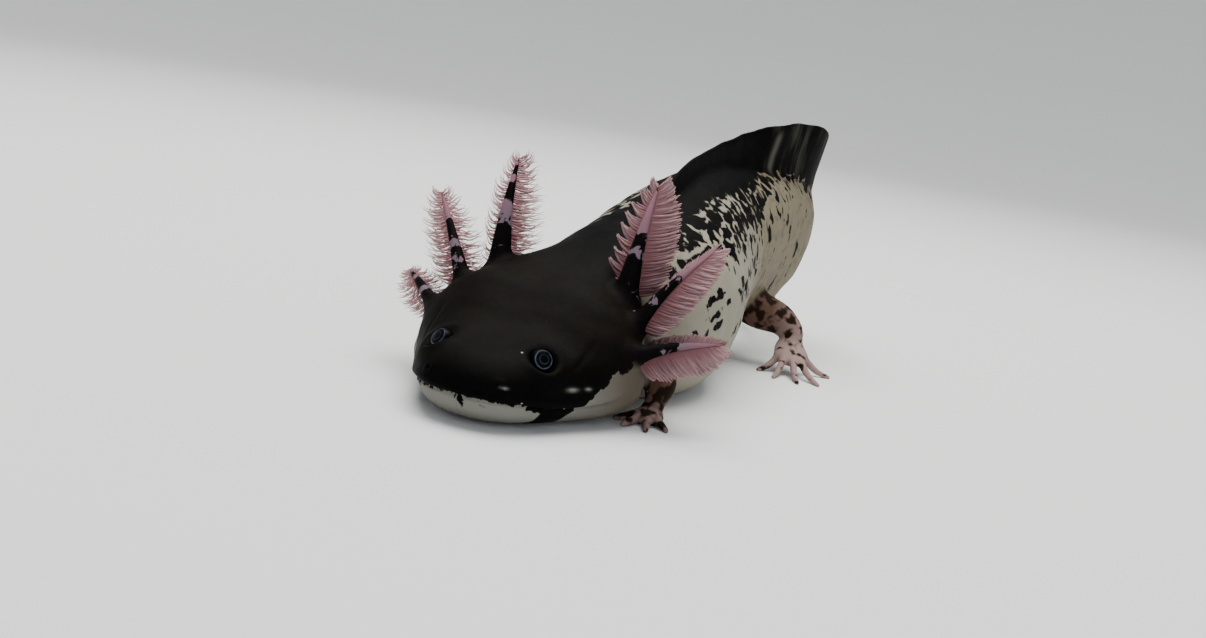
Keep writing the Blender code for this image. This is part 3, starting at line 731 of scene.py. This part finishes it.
# ==== The colours of the skin ==================================================================
# Brown-black above and milky below. The dark ends in a ragged lip on the head and breaks up down the
# flank into blotches, upright ticks and last spots. Limbs are pinkish with brown blotches.

# Height above the floor at which the full dark ends, at places along the spine. In front it runs
# along the lip, drops to the floor behind the corner of the mouth and climbs the cheek to the gills.
DARK_EDGE = ((0, 5.9), (4, 5.4), (8, 4.7), (9.2, 4.0), (10, 1), (10.8, -1.5), (14.2, -1.5), (15, 2.5),
             (16, 4.8), (18, 7.2), (20, 9.4), (23, 12.2), (30, 16), (35, 19), (39, 23), (42, 26.2),
             (48, 27), (55, 30), (62, 34), (71, 37.3), (80, 39), (92, 40.5), (105, 41.5), (121, 44),
             (136, 43), (150, 38), (171, 29), (196, 18), (226, 6))
# The drop over which thin pale lines part it into large blotches, and at which the last blotch is gone.
LINES_TO = ((0, 0.3), (22, 0.4), (36, 1), (43, 1.5), (50, 2.5), (58, 5), (72, 6.5), (92, 8), (100, 6),
            (108, 4), (121, 3), (226, 1.5))
BREAK_UP = ((0, 1.2), (22, 1.6), (34, 5), (46, 12), (56, 22), (70, 26), (90, 26), (112, 15), (128, 12),
            (150, 9), (171, 7), (226, 4))
BLOTCH_WIDE = ((0, 3.6), (92, 3.6), (108, 3.0), (226, 3.0))  # mm along the body, at places along it
BLOTCH_TALL = 4.2
DOTS_APART = 3.4  # down the flank
RIGHT_SIDE_AT = 200  # the right side's pattern starts this far from the left one's, in mm
STREAK_AT = (121.5, 0.9, 43.0, 52.0)  # the pale streak in the fin: place, half width, lowest, highest
# Pale flecks along the left lip: place along the spine, height, half length, half width.
FLECKS = ((13.6, 7.8, 0.9, 0.3), (16.6, 7.9, 0.5, 0.24), (2.6, 8.0, 0.4, 0.16))


def skin_coordinates(found):
    """Along the spine, in blotches, and down from the back, in mm. The right side lies apart."""
    along, left, up = found["along"], found["left"], found["up"]
    middle, back = outline(WIDEST, along), outline(BACK, along)
    wide = outline(WIDE, along)
    tall = np.maximum(back - middle, 1)
    angle = np.arctan2(np.abs(left) / wide, (up - middle) / tall)
    girth = np.where(up > back, back - up, angle * (wide + tall) / 2)
    blotches = np.interp(along, HALF_STEPS, np.cumsum(0.5 / curve(BLOTCH_WIDE, HALF_STEPS)))
    return np.stack([blotches, np.where(left > 0, girth, RIGHT_SIDE_AT - girth), np.zeros(len(along))], 1)


def mark(mesh, name, values):
    """Stores one number or vector for each point of a mesh, for the material to read."""
    kind, field = ("FLOAT_VECTOR", "vector") if values.ndim == 2 else ("FLOAT", "value")
    made = mesh.attributes.new(name, kind, "POINT")
    made.data.foreach_set(field, values.astype(np.float32).ravel())


# Satin skin gives the eye a soft, nearly black head with hardly a shine, and a milky, slightly
# see-through belly and feet.
skin_look, tree = new_material("satin_amphibian_skin")
skin = mesh_object("skin", points * MM, quads, skin_look)
found = parts(points)
along, left, up = found["along"], found["left"], found["up"]
eye_gap = np.min([np.linalg.norm(points - centre, axis=1) for centre in EYES.values()], axis=0)
body_gap = np.minimum(found["body"], found["fin"])
on_foot = found["foot"] < found["limb"]
streak_place, streak_half, streak_low, streak_high = STREAK_AT
marks = {
    "lie": skin_coordinates(found),
    "drop": curve(DARK_EDGE, along) - up,
    "lines_to": curve(LINES_TO, along),
    "gone_at": curve(BREAK_UP, along),
    "spotted": ramp(along, 44, 56) * (1 - ramp(along, 104, 116)) * ramp(up - outline(BELLY, along), 4, 9),
    "warm": ramp(along, 78, 118),
    # Painted shade under the head: this mask darkens the pale on the throat, and less so at the chin.
    "throat": 1 - ramp(along, 30, 62),
    "chin": 1 - ramp(along, 12, 26),
    "streak": bell(along - up * 0.12, streak_place - streak_low * 0.12, streak_half)
    * window(up, streak_low, streak_high, 1.5),
    "fin": ramp(found["body"] - found["fin"], -0.2, 1.2) * ramp(along, 112, 124),
    "limb": ramp(body_gap - np.minimum(found["limb"], found["foot"]), -0.5, 1.5),
    "limb_at": np.where(on_foot, 1.1, found["limb_at"]) - 0.3 * (along < 80),
    "stalk": ramp(body_gap - found["stalk"], -0.6, 0.8),
    "stalk_at": found["stalk_at"] % 2,
    "stalk_pale": np.max([window(found["stalk_at"] - 2 * number, low, high, 0.09)
                          for number, key in enumerate(STALKS) for low, high in PALE_STRETCHES[key]],
                         axis=0),
    "head": 1 - ramp(along, 34, 46),
    "fleck": sum(bell(along, s, half) * bell(up, z, high) for s, z, half, high in FLECKS)
    * ramp(left, 6, 8) * 0.5,
    # Painted shade round the eyes, and black low along the lip at the front of the head.
    "eye_shade_and_lip_black": np.maximum(ramp(-eye_gap, -6.5, -2.8), (1 - ramp(up, 7, 17)) * (1 - ramp(along, 16, 34))),
}
for name, values in marks.items():
    mark(skin.data, name, values)
read = {name: add(tree, "Attribute", output="Fac", attribute_name=name) for name in marks}
lie = add(tree, "Attribute", output="Vector", attribute_name="lie")
here = add(tree, "TexCoord", output="Object")
here = add(tree, "VectorMath", {0: here, 1: (1 / MM,) * 3}, operation="MULTIPLY")  # in mm

# The noises of the pattern: the size of their features in mm, detail and distortion.
NOISES = {"fray": (0.9, 3.0, 0.0), "loose": (2.4, 1.0, 0.0), "bloom": (9.0, 2.0, 0.0),
          "stain": (2.4, 2.0, 0.0), "marble": (3.5, 4.0, 0.0), "blotch": (2.3, 1.5, 0.3),
          "patch": (1.9, 3.0, 0.6), "grain": (0.5, 3.0, 0.0), "leather": (2.2, 4.0, 0.0)}
noise = {name: add(tree, "TexNoise", {"Vector": here, "Scale": 1 / size, "Detail": detail,
                                      "Distortion": distortion})
         for name, (size, detail, distortion) in NOISES.items()}

# Down the flank thin lines part the dark into cells, and then more and more of the cells are missing.
bent = add(tree, "TexNoise", {"Vector": here, "Scale": 1 / 2.6, "Detail": 3.0}, "Color")
bent = add(tree, "VectorMath", {0: bent, 1: (0.75, 3.2, 0.0), 2: lie}, operation="MULTIPLY_ADD")
cells = add(tree, "VectorMath", {0: bent, 1: (1.0, 1 / BLOTCH_TALL, 1.0)}, operation="MULTIPLY")
cell_gap = add(tree, "TexVoronoi", {"Vector": cells, "Scale": 1.0}, feature="DISTANCE_TO_EDGE")
luck = add(tree, "TexVoronoi", {"Vector": cells, "Scale": 1.0}, "Color")
luck = add(tree, "SeparateColor", {"Color": luck})
frayed = add(tree, "Math", {0: noise["fray"], 1: 1.6, 2: read["drop"]}, operation="MULTIPLY_ADD")
frayed = add(tree, "Math", {0: frayed, 1: 0.8}, operation="SUBTRACT")
lines = add(tree, "MapRange", {"Value": noise["loose"], "From Min": 0.36, "From Max": 0.56})
begun = add(tree, "MapRange", {"Value": frayed, "From Min": 0.0, "From Max": 1.0})
lines = add(tree, "Math", {0: lines, 1: begun}, operation="MULTIPLY")
parted = add(tree, "Math", {0: frayed, 1: read["lines_to"]}, operation="DIVIDE")
parted = add(tree, "MapRange", {"Value": parted, "From Min": 0.8, "From Max": 1.3},
             interpolation_type="SMOOTHSTEP")
scarce = add(tree, "MapRange", {"Value": frayed, "From Min": read["lines_to"],
                                          "From Max": read["gone_at"], "To Min": 0.25, "To Max": 0.95})
scarce = add(tree, "Math", {0: scarce, 1: parted}, operation="MULTIPLY")
missing = add(tree, "Math", {0: scarce, 1: luck}, operation="SUBTRACT", use_clamp=True)
needed = add(tree, "Math", {0: lines, 1: 0.17, 2: -0.07}, operation="MULTIPLY_ADD")
needed = add(tree, "Math", {0: parted, 1: 0.13, 2: needed}, operation="MULTIPLY_ADD")
needed = add(tree, "Math", {0: missing, 1: 1.2, 2: needed}, operation="MULTIPLY_ADD")
over = add(tree, "Math", {0: cell_gap, 1: needed}, operation="SUBTRACT")
dark = add(tree, "MapRange", {"Value": over, "From Min": -0.04, "From Max": 0.04},
           interpolation_type="SMOOTHSTEP")

# Small stray dots lie between and below them.
dot_cells = add(tree, "VectorMath", {0: bent, 1: (1.25, 0.8 / DOTS_APART, 1.0)}, operation="MULTIPLY")
dot_gap = add(tree, "TexVoronoi", {"Vector": dot_cells, "Scale": 1.0}, "Distance")
dot_luck = add(tree, "TexVoronoi", {"Vector": dot_cells, "Scale": 1.0}, "Color")
dot_luck = add(tree, "SeparateColor", {"Color": dot_luck})
dot_size = add(tree, "MapRange",
               {"Value": dot_luck, "From Min": 0.4, "From Max": 0.95, "To Min": 0.0, "To Max": 0.33})
dots = add(tree, "Math", {0: dot_size, 1: dot_gap}, operation="SUBTRACT")
dots = add(tree, "MapRange", {"Value": dots, "From Min": 0.0, "From Max": 0.05})
dots = add(tree, "Math", {0: dots, 1: read["spotted"]}, operation="MULTIPLY")
dark = add(tree, "Math", {0: dark, 1: dots}, operation="MAXIMUM")

# Milky below: cream chest, warm towards the hips with faint grey stains, throat and chin in painted shade.
bloom = add(tree, "Math", {0: noise["bloom"], 1: 0.8, 2: -0.25}, operation="MULTIPLY_ADD")
bloom = add(tree, "Math", {0: bloom, 1: read["warm"]}, operation="ADD", use_clamp=True)
pale = add(tree, "Mix", {0: bloom, 6: linear("#908c7f"), 7: linear("#79715f")}, 2, data_type="RGBA")
stain = add(tree, "MapRange", {"Value": noise["stain"], "From Min": 0.52, "From Max": 0.68, "To Max": 0.45})
stain = add(tree, "Math", {0: stain, 1: read["warm"]}, operation="MULTIPLY")
pale = add(tree, "Mix", {0: stain, 6: pale, 7: linear("#4d453f")}, 2, data_type="RGBA")
# Painted shade under the head: deep grey-brown on the throat, a lighter grey at the chin.
throat = add(tree, "Mix", {0: read["chin"], 6: linear("#4f483f"), 7: linear("#77766f")}, 2, data_type="RGBA")
pale = add(tree, "Mix", {0: read["throat"], 6: pale, 7: throat}, 2, data_type="RGBA")

# Brown-black head, pitch black on the back and along the lip, painted shade round the eyes, grey streaks in
# the fin.
umber = add(tree, "Mix", {0: noise["marble"], 6: linear("#060503"), 7: linear("#110d09")}, 2,
            data_type="RGBA")
umber = add(tree, "Mix", {0: read["head"], 6: linear("#030303"), 7: umber}, 2, data_type="RGBA")
# Painted shade: near black in the dish round each eye; the same mask also blackens the head low along the
# lip.
umber = add(tree, "Mix", {0: read["eye_shade_and_lip_black"], 6: umber, 7: linear("#020202")}, 2, data_type="RGBA")
tall = add(tree, "VectorMath", {0: lie, 1: (2.5, 0.14, 1.0)}, operation="MULTIPLY")
streaks = add(tree, "TexNoise", {"Vector": tall, "Scale": 1 / 2.2, "Detail": 2.0})
streaks = add(tree, "MapRange", {"Value": streaks, "From Min": 0.5, "From Max": 0.68, "To Max": 0.4})
streaks = add(tree, "Math", {0: streaks, 1: read["fin"]}, operation="MULTIPLY")
streaks = add(tree, "Math", {0: streaks, 1: read["streak"]}, operation="MAXIMUM")
umber = add(tree, "Mix", {0: streaks, 6: umber, 7: linear("#4c4b44")}, 2, data_type="RGBA")
colour = add(tree, "Mix", {0: dark, 6: pale, 7: umber}, 2, data_type="RGBA")

# Limbs: flesh pink with soft round brown blotches, clearer towards the feet.
blotch = add(tree, "Math", {0: read["limb_at"], 1: -0.17, 2: noise["blotch"]}, operation="MULTIPLY_ADD")
blotch = add(tree, "MapRange", {"Value": blotch, "From Min": 0.33, "From Max": 0.47},
             interpolation_type="SMOOTHSTEP")
clear = add(tree, "MapRange", {"Value": read["limb_at"], "From Min": 0.5, "From Max": 1.0})
limb = add(tree, "Mix", {0: clear, 6: linear("#5c463d"), 7: linear("#97807b")}, 2, data_type="RGBA")
limb = add(tree, "Mix", {0: blotch, 6: limb, 7: linear("#21160f")}, 2, data_type="RGBA")

# Gill stalks: black from the root, breaking into patches over mauve grey that turns to dull pink.
patch = add(tree, "Math", {0: noise["patch"], 1: 2.4, 2: -0.68}, operation="MULTIPLY_ADD")
patch = add(tree, "Math", {0: patch, 1: read["stalk_pale"]}, operation="SUBTRACT")
patch = add(tree, "MapRange", {"Value": patch, "From Min": -0.06, "From Max": 0.06},
            interpolation_type="SMOOTHSTEP")
ripe = add(tree, "MapRange", {"Value": read["stalk_at"], "From Min": 0.45, "From Max": 0.8})
stalk = add(tree, "Mix", {0: ripe, 6: linear("#6b5b66"), 7: linear("#845f6b")}, 2, data_type="RGBA")
stalk = add(tree, "Mix", {0: patch, 6: stalk, 7: linear("#080606")}, 2, data_type="RGBA")

# A few pale specks on the head. Limbs, stalks and specks then cover the body's own colours.
speck_gap = add(tree, "TexVoronoi", {"Vector": here, "Scale": 1 / 4.6}, "Distance")
speck_tint = add(tree, "TexVoronoi", {"Vector": here, "Scale": 1 / 4.6}, "Color")
speck = add(tree, "MapRange", {"Value": speck_gap, "From Min": 0.05, "From Max": 0.03})
chosen = add(tree, "Math", {0: speck_tint, 1: 0.62}, operation="GREATER_THAN")
speck = add(tree, "Math", {0: speck, 1: chosen}, operation="MULTIPLY")
speck = add(tree, "Math", {0: speck, 1: read["head"]}, operation="MULTIPLY")
speck = add(tree, "Math", {0: speck, 1: read["fleck"]}, operation="MAXIMUM")
for cover, finish in ((read["limb"], limb), (read["stalk"], stalk), (speck, linear("#a8a69f"))):
    colour = add(tree, "Mix", {0: cover, 6: colour, 7: finish}, 2, data_type="RGBA")

height = add(tree, "Math", {0: noise["grain"], 1: 0.35, 2: noise["leather"]}, operation="MULTIPLY_ADD")
bump = add(tree, "Bump", {"Height": height, "Strength": 0.5, "Distance": 0.00022})
shader = add(tree, "BsdfPrincipled", {
    "Base Color": colour, "Roughness": 0.6, "Specular IOR Level": 0.03, "Subsurface Weight": 0.1,
    "Subsurface Radius": (1.0, 0.45, 0.3), "Subsurface Scale": 0.0015, "Normal": bump})
add(tree, "OutputMaterial", {"Surface": shader})

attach(skin, "root")
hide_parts(*[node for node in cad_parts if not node.startswith(("eye_", "gill_"))])


# ==== The eyes =================================================================================
# A black bead without lids, set in a shallow dish of skin. A thin pale ring lies round the pupil and
# another where the iris ends, both broken, faintly blue and brightest below.
OUTER_RING = (1.55, 0.14)  # radius round the eye's axis and half width
INNER_RING = (0.8, 0.1)
EYE_FLAT = (1.2, 0.35)  # how far out the front of the eye starts to flatten, and what is left of it
EYE_ACROSS, EYE_DOWN = 48, 32

# A clear surface with hardly a shine over deep blue-black gives the eye its depth.
eye_look, tree = new_material("clear_wet_eye")
axis_gap = add(tree, "Attribute", output="Fac", attribute_name="axis_gap")
below = add(tree, "Attribute", output="Fac", attribute_name="below")
here = add(tree, "TexCoord", output="Object")
flaw = add(tree, "TexNoise", {"Vector": here, "Scale": 1 / (0.8 * MM), "Detail": 2.0})
uneven = add(tree, "Math", {0: flaw, 1: 0.16, 2: axis_gap}, operation="MULTIPLY_ADD")
strength = add(tree, "Math", {0: below, 1: 0.3, 2: flaw}, operation="MULTIPLY_ADD")
strength = add(tree, "MapRange", {"Value": strength, "From Min": 0.28, "From Max": 0.68, "To Min": 0.2})


def ring_mask(radius, half):
    """1 on a ring round the eye's axis, fading at both edges and broken by the flaws."""
    gap = add(tree, "Math", {0: uneven, 1: radius + 0.08}, operation="SUBTRACT")
    gap = add(tree, "Math", {0: gap}, operation="ABSOLUTE")
    ring = add(tree, "MapRange", {"Value": gap, "From Min": half, "From Max": half * 0.4},
               interpolation_type="SMOOTHSTEP")
    return add(tree, "Math", {0: ring, 1: strength}, operation="MULTIPLY")


eye_colour = add(tree, "Mix",
                 {0: ring_mask(*INNER_RING), 6: linear("#030407"), 7: linear("#353c48")}, 2, data_type="RGBA")
eye_colour = add(tree, "Mix",
                 {0: ring_mask(*OUTER_RING), 6: eye_colour, 7: linear("#545d6e")}, 2, data_type="RGBA")
eye_shader = add(tree, "BsdfPrincipled", {
    "Base Color": eye_colour, "Roughness": 0.35, "Specular IOR Level": 0.04})
add(tree, "OutputMaterial", {"Surface": eye_shader})

polar = np.linspace(0, math.pi, EYE_DOWN + 1)[1:-1]
azimuth = np.arange(EYE_ACROSS) * 2 * math.pi / EYE_ACROSS
for word, centre in EYES.items():
    out = EYE_AXES[word]
    side_way = np.cross(out, (0, 0, 1))
    side_way /= np.linalg.norm(side_way)
    up_way = np.cross(side_way, out)
    rings = [out * math.cos(p) + (side_way * math.cos(a) + up_way * math.sin(a)) * math.sin(p)
             for p in polar for a in azimuth]
    shell = np.vstack([rings, [out], [-out]]) * EYE_RADIUS
    off_axis = np.linalg.norm(shell - np.outer(shell @ out, out), axis=1)
    above = np.maximum(shell @ out - EYE_FLAT[0], 0)
    shell -= np.outer(above * (1 - EYE_FLAT[1]), out)
    top, bottom, last = len(rings), len(rings) + 1, (len(polar) - 1) * EYE_ACROSS
    triangles = rings_joined(0, EYE_ACROSS, len(polar) - 1)
    for k in range(EYE_ACROSS):
        m = (k + 1) % EYE_ACROSS
        triangles += [(top, k, m), (bottom, last + m, last + k)]
    eye = mesh_object("eyeball_" + word, (centre + shell) * MM, np.array(triangles), eye_look)
    mark(eye.data, "axis_gap", np.where(shell @ out > 0, off_axis, EYE_RADIUS))
    mark(eye.data, "below", -(shell @ up_way) / EYE_RADIUS)
    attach(eye, "root")
    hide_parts("eye_" + word)


# ==== The gill filaments =======================================================================
# Each stalk carries two rows of soft filaments on its rear, like the barbs of a feather: thin flat
# threads with blood close under the skin. On the left side they cling together in sheets with a
# fringed edge or in pointed leaves, and on the right they stand apart and curl.
VANE_LENGTH = ((0, 3.4), (0.12, 4.4), (0.3, 5.6), (0.55, 6.0), (0.8, 5.0), (1, 3.0))
THREAD_RINGS = 9
THREAD_SIDES = 4
THREAD_HALF = 0.08  # half thickness
TIP_LIFT = 34  # degrees by which the threads at a stalk's tip lift further
TUFT_PATCH = 0.003  # width of a thread's patch on the map for baking
# Spacing and half width of the threads, how many cling into one tuft and how closely, how far they
# lift towards the stalk's tip at root and end (degrees), how wavy and how uneven in length they are,
# the share of the length over which they taper, and how far they stray from their row (degrees).
HABIT_TERMS = ("spacing", "half", "tuft", "cling", "lift", "wave", "uneven", "taper", "stray")
HABITS = {
    "sheet": (0.18, 0.3, 1, 0, (14, 40), 0.04, 0.06, 0.3, 1.2),
    "leaf": (0.2, 0.24, 13, 0.92, (6, 50), 0.04, 0.06, 0.4, 1.5),
    "comb": (0.44, 0.16, 1, 0, (-14, 78), 0.15, 0.12, 0.55, 5),
    "strand": (0.44, 0.16, 1, 0, (-12, 36), 0.35, 0.16, 0.55, 5),
}
HABITS = {name: dict(zip(HABIT_TERMS, values)) for name, values in HABITS.items()}
ROWS = {("left", "upper"): ("sheet", "leaf"), ("left", "middle"): ("sheet", "sheet"),
        ("left", "lower"): ("sheet", "sheet"), ("right", "upper"): ("strand", "comb"),
        ("right", "middle"): ("strand", "comb"), ("right", "lower"): ("comb", "comb")}
# Degrees from the rows' middle to a layer of threads, and its share of the full length.
LAYERS = ((64, 1.0), (46, 0.86), (28, 0.66))

# Soft, slightly see-through threads give the eye a pink haze with pale, lit tips. The left side's threads,
# which cling together in sheets, are painted darker as painted shade. The right side's threads, which stand
# apart, are painted lighter as painted light coming between them.
gill_look, tree = new_material("soft_gill_filament")
share, tone, stalk_at, lit_apart = [add(tree, "Attribute", output="Fac", attribute_name=name)
                                for name in ("share", "tone", "stalk_at", "lit_apart")]
# Painted shade: the darker copy of the thread colours, for the left side's sheets.
shaded_blood = add(tree, "Mix", {0: stalk_at, 6: linear("#673d41"), 7: linear("#7d5157")}, 2, data_type="RGBA")
shaded_tip = add(tree, "Mix", {0: tone, 6: linear("#75565b"), 7: linear("#97787b")}, 2, data_type="RGBA")
ripening = add(tree, "MapRange", {"Value": share, "From Min": 0.25, "From Max": 1.0})
shaded_threads = add(tree, "Mix", {0: ripening, 6: shaded_blood, 7: shaded_tip}, 2, data_type="RGBA")
# Painted light: the lighter copy of the thread colours, for the right side's threads that stand apart.
lit_blood = add(tree, "Mix", {0: stalk_at, 6: linear("#8c5f62"), 7: linear("#a17c82")}, 2, data_type="RGBA")
lit_tip = add(tree, "Mix", {0: tone, 6: linear("#a58a8a"), 7: linear("#cbb9b3")}, 2, data_type="RGBA")
lit_threads = add(tree, "Mix", {0: ripening, 6: lit_blood, 7: lit_tip}, 2, data_type="RGBA")
thread_colour = add(tree, "Mix", {0: lit_apart, 6: shaded_threads, 7: lit_threads}, 2, data_type="RGBA")
thread_shader = add(tree, "BsdfPrincipled", {
    "Base Color": thread_colour, "Roughness": 0.6, "Specular IOR Level": 0.15, "Subsurface Weight": 0.3,
    "Subsurface Radius": (1.0, 0.4, 0.35), "Subsurface Scale": 0.0008})
add(tree, "OutputMaterial", {"Surface": thread_shader})


def row_of_threads(stalk, habit, turn, spread, fullness, chance):
    """Points (threads, rings, sides), the place along the stalk of each thread, and its angle."""
    path, along = stalk["path"], stalk["along"]
    span = np.linalg.norm(np.diff(path, axis=0), axis=1).sum()
    count = int(span / habit["spacing"])
    t = (np.arange(count) + 0.5 + chance.normal(0, 0.15, count)) / count
    t = np.clip(t * 0.9 + 0.1, 0.02, 1)  # the first tenth is buried in the head
    centre = np.stack([np.interp(t, np.linspace(0, 1, STALK_POINTS), path[:, i]) for i in range(3)], 1)
    radius = np.interp(t, np.linspace(0, 1, STALK_POINTS), stalk["radii"])
    angle = np.radians(spread + chance.normal(0, habit["stray"] * 0.6, count)) * turn
    out = np.outer(np.cos(angle), stalk["rear"]) + np.outer(np.sin(angle), stalk["across"])
    flat = np.cross(out, along)
    tuft = np.arange(count) // habit["tuft"]
    tuft_middle = (tuft + 0.5) * habit["tuft"] / count * 0.9 + 0.1
    beside = (t - tuft_middle) * count / habit["tuft"] * 2 if habit["tuft"] > 1 else np.zeros(count)
    length = curve(VANE_LENGTH, t) * stalk["fullness"] * fullness
    length = length * (1 + habit["uneven"] * chance.uniform(-1, 0.5, count)) * (1 - 0.12 * beside ** 2)
    length = length * (1 + 0.06 * chance.normal(0, 1, tuft.max() + 1)[tuft]) + radius * 0.5
    steps = np.linspace(0, 1, THREAD_RINGS)
    low, high = habit["lift"]
    stray = chance.normal(0, habit["stray"], count) + TIP_LIFT * ramp(t, 0.75, 1)
    lift = np.radians(low + (high - low) * steps[None] + stray[:, None])[..., None]
    way = out[:, None] * np.cos(lift) + along * np.sin(lift)
    breadth = along * np.cos(lift) - out[:, None] * np.sin(lift)
    line = np.cumsum(way, 1) - way
    line = line * (length / (THREAD_RINGS - 1))[:, None, None]
    line = line + (centre + out * radius[:, None] * 0.5)[:, None]
    phase = chance.uniform(0, 2 * math.pi, count)[:, None]
    sway = habit["wave"] * np.sin(steps * 7.5 + phase) * steps
    line = line + flat[:, None] * sway[..., None] + breadth * (sway * 0.8)[..., None]
    pull = (tuft_middle - t) * span * habit["cling"]
    line = line + along * (pull[:, None] * steps ** 1.6)[..., None]
    width = habit["half"] * np.clip((1.02 - steps) / habit["taper"], 0.15, 1) ** 0.8
    thick = THREAD_HALF * (1 - 0.55 * steps)
    corner = np.arange(THREAD_SIDES) * 2 * math.pi / THREAD_SIDES
    shell = line[:, :, None] + breadth[:, :, None] * (width[:, None] * np.cos(corner))[None, ..., None]
    shell = shell + flat[:, None, None] * (thick[:, None] * np.sin(corner))[None, ..., None]
    return shell, t, angle


ring_ids = np.arange(THREAD_RINGS * THREAD_SIDES).reshape(THREAD_RINGS, THREAD_SIDES)
one_thread = np.stack([ring_ids[:-1], ring_ids[1:], np.roll(ring_ids, -1, 1)[1:],
                       np.roll(ring_ids, -1, 1)[:-1]], -1).reshape(-1, 4)
one_thread = np.vstack([one_thread, ring_ids[0], ring_ids[-1][::-1]])
for seed, (key, stalk) in enumerate(STALKS.items()):
    chance = np.random.default_rng(seed)
    rows = [row_of_threads(stalk, HABITS[habit], turn, spread, fullness, chance)
            for turn, habit in zip((-1, 1), ROWS[key]) for spread, fullness in LAYERS]
    shells, t, angle = (np.concatenate([row[i] for row in rows]) for i in range(3))
    shells[..., 2] = np.maximum(shells[..., 2], 0.1)
    count, each = len(shells), THREAD_RINGS * THREAD_SIDES
    quads = (one_thread[None] + np.arange(count)[:, None, None] * each).reshape(-1, 4)
    word, name = key
    fringe = mesh_object("_".join(("filaments", word, name)), shells.reshape(-1, 3) * MM, quads, gill_look)
    shares = np.tile(np.repeat(np.linspace(0, 1, THREAD_RINGS), THREAD_SIDES), count)
    mark(fringe.data, "share", shares)
    mark(fringe.data, "tone", np.repeat(chance.uniform(size=count), each))
    mark(fringe.data, "stalk_at", np.repeat(t, each))
    # Painted light: the right side's threads take the lighter copy of the colours.
    mark(fringe.data, "lit_apart", np.full(count * each, float(word == "right")))
    corner = np.zeros(len(fringe.data.loops), np.int32)
    fringe.data.loops.foreach_get("vertex_index", corner)
    root = np.stack([t, 0.5 + angle / (2 * math.pi)], 1)[corner // each]
    patch = np.stack([corner % THREAD_SIDES / (THREAD_SIDES - 1), shares[corner]], 1) * TUFT_PATCH
    unwrap = fringe.data.uv_layers.new(name="OFBake")
    unwrap.data.foreach_set("uv", (0.01 + root * 0.97 + patch).astype(np.float32).ravel())
    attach(fringe, "root")
    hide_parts("_".join(("gill", word, name)))
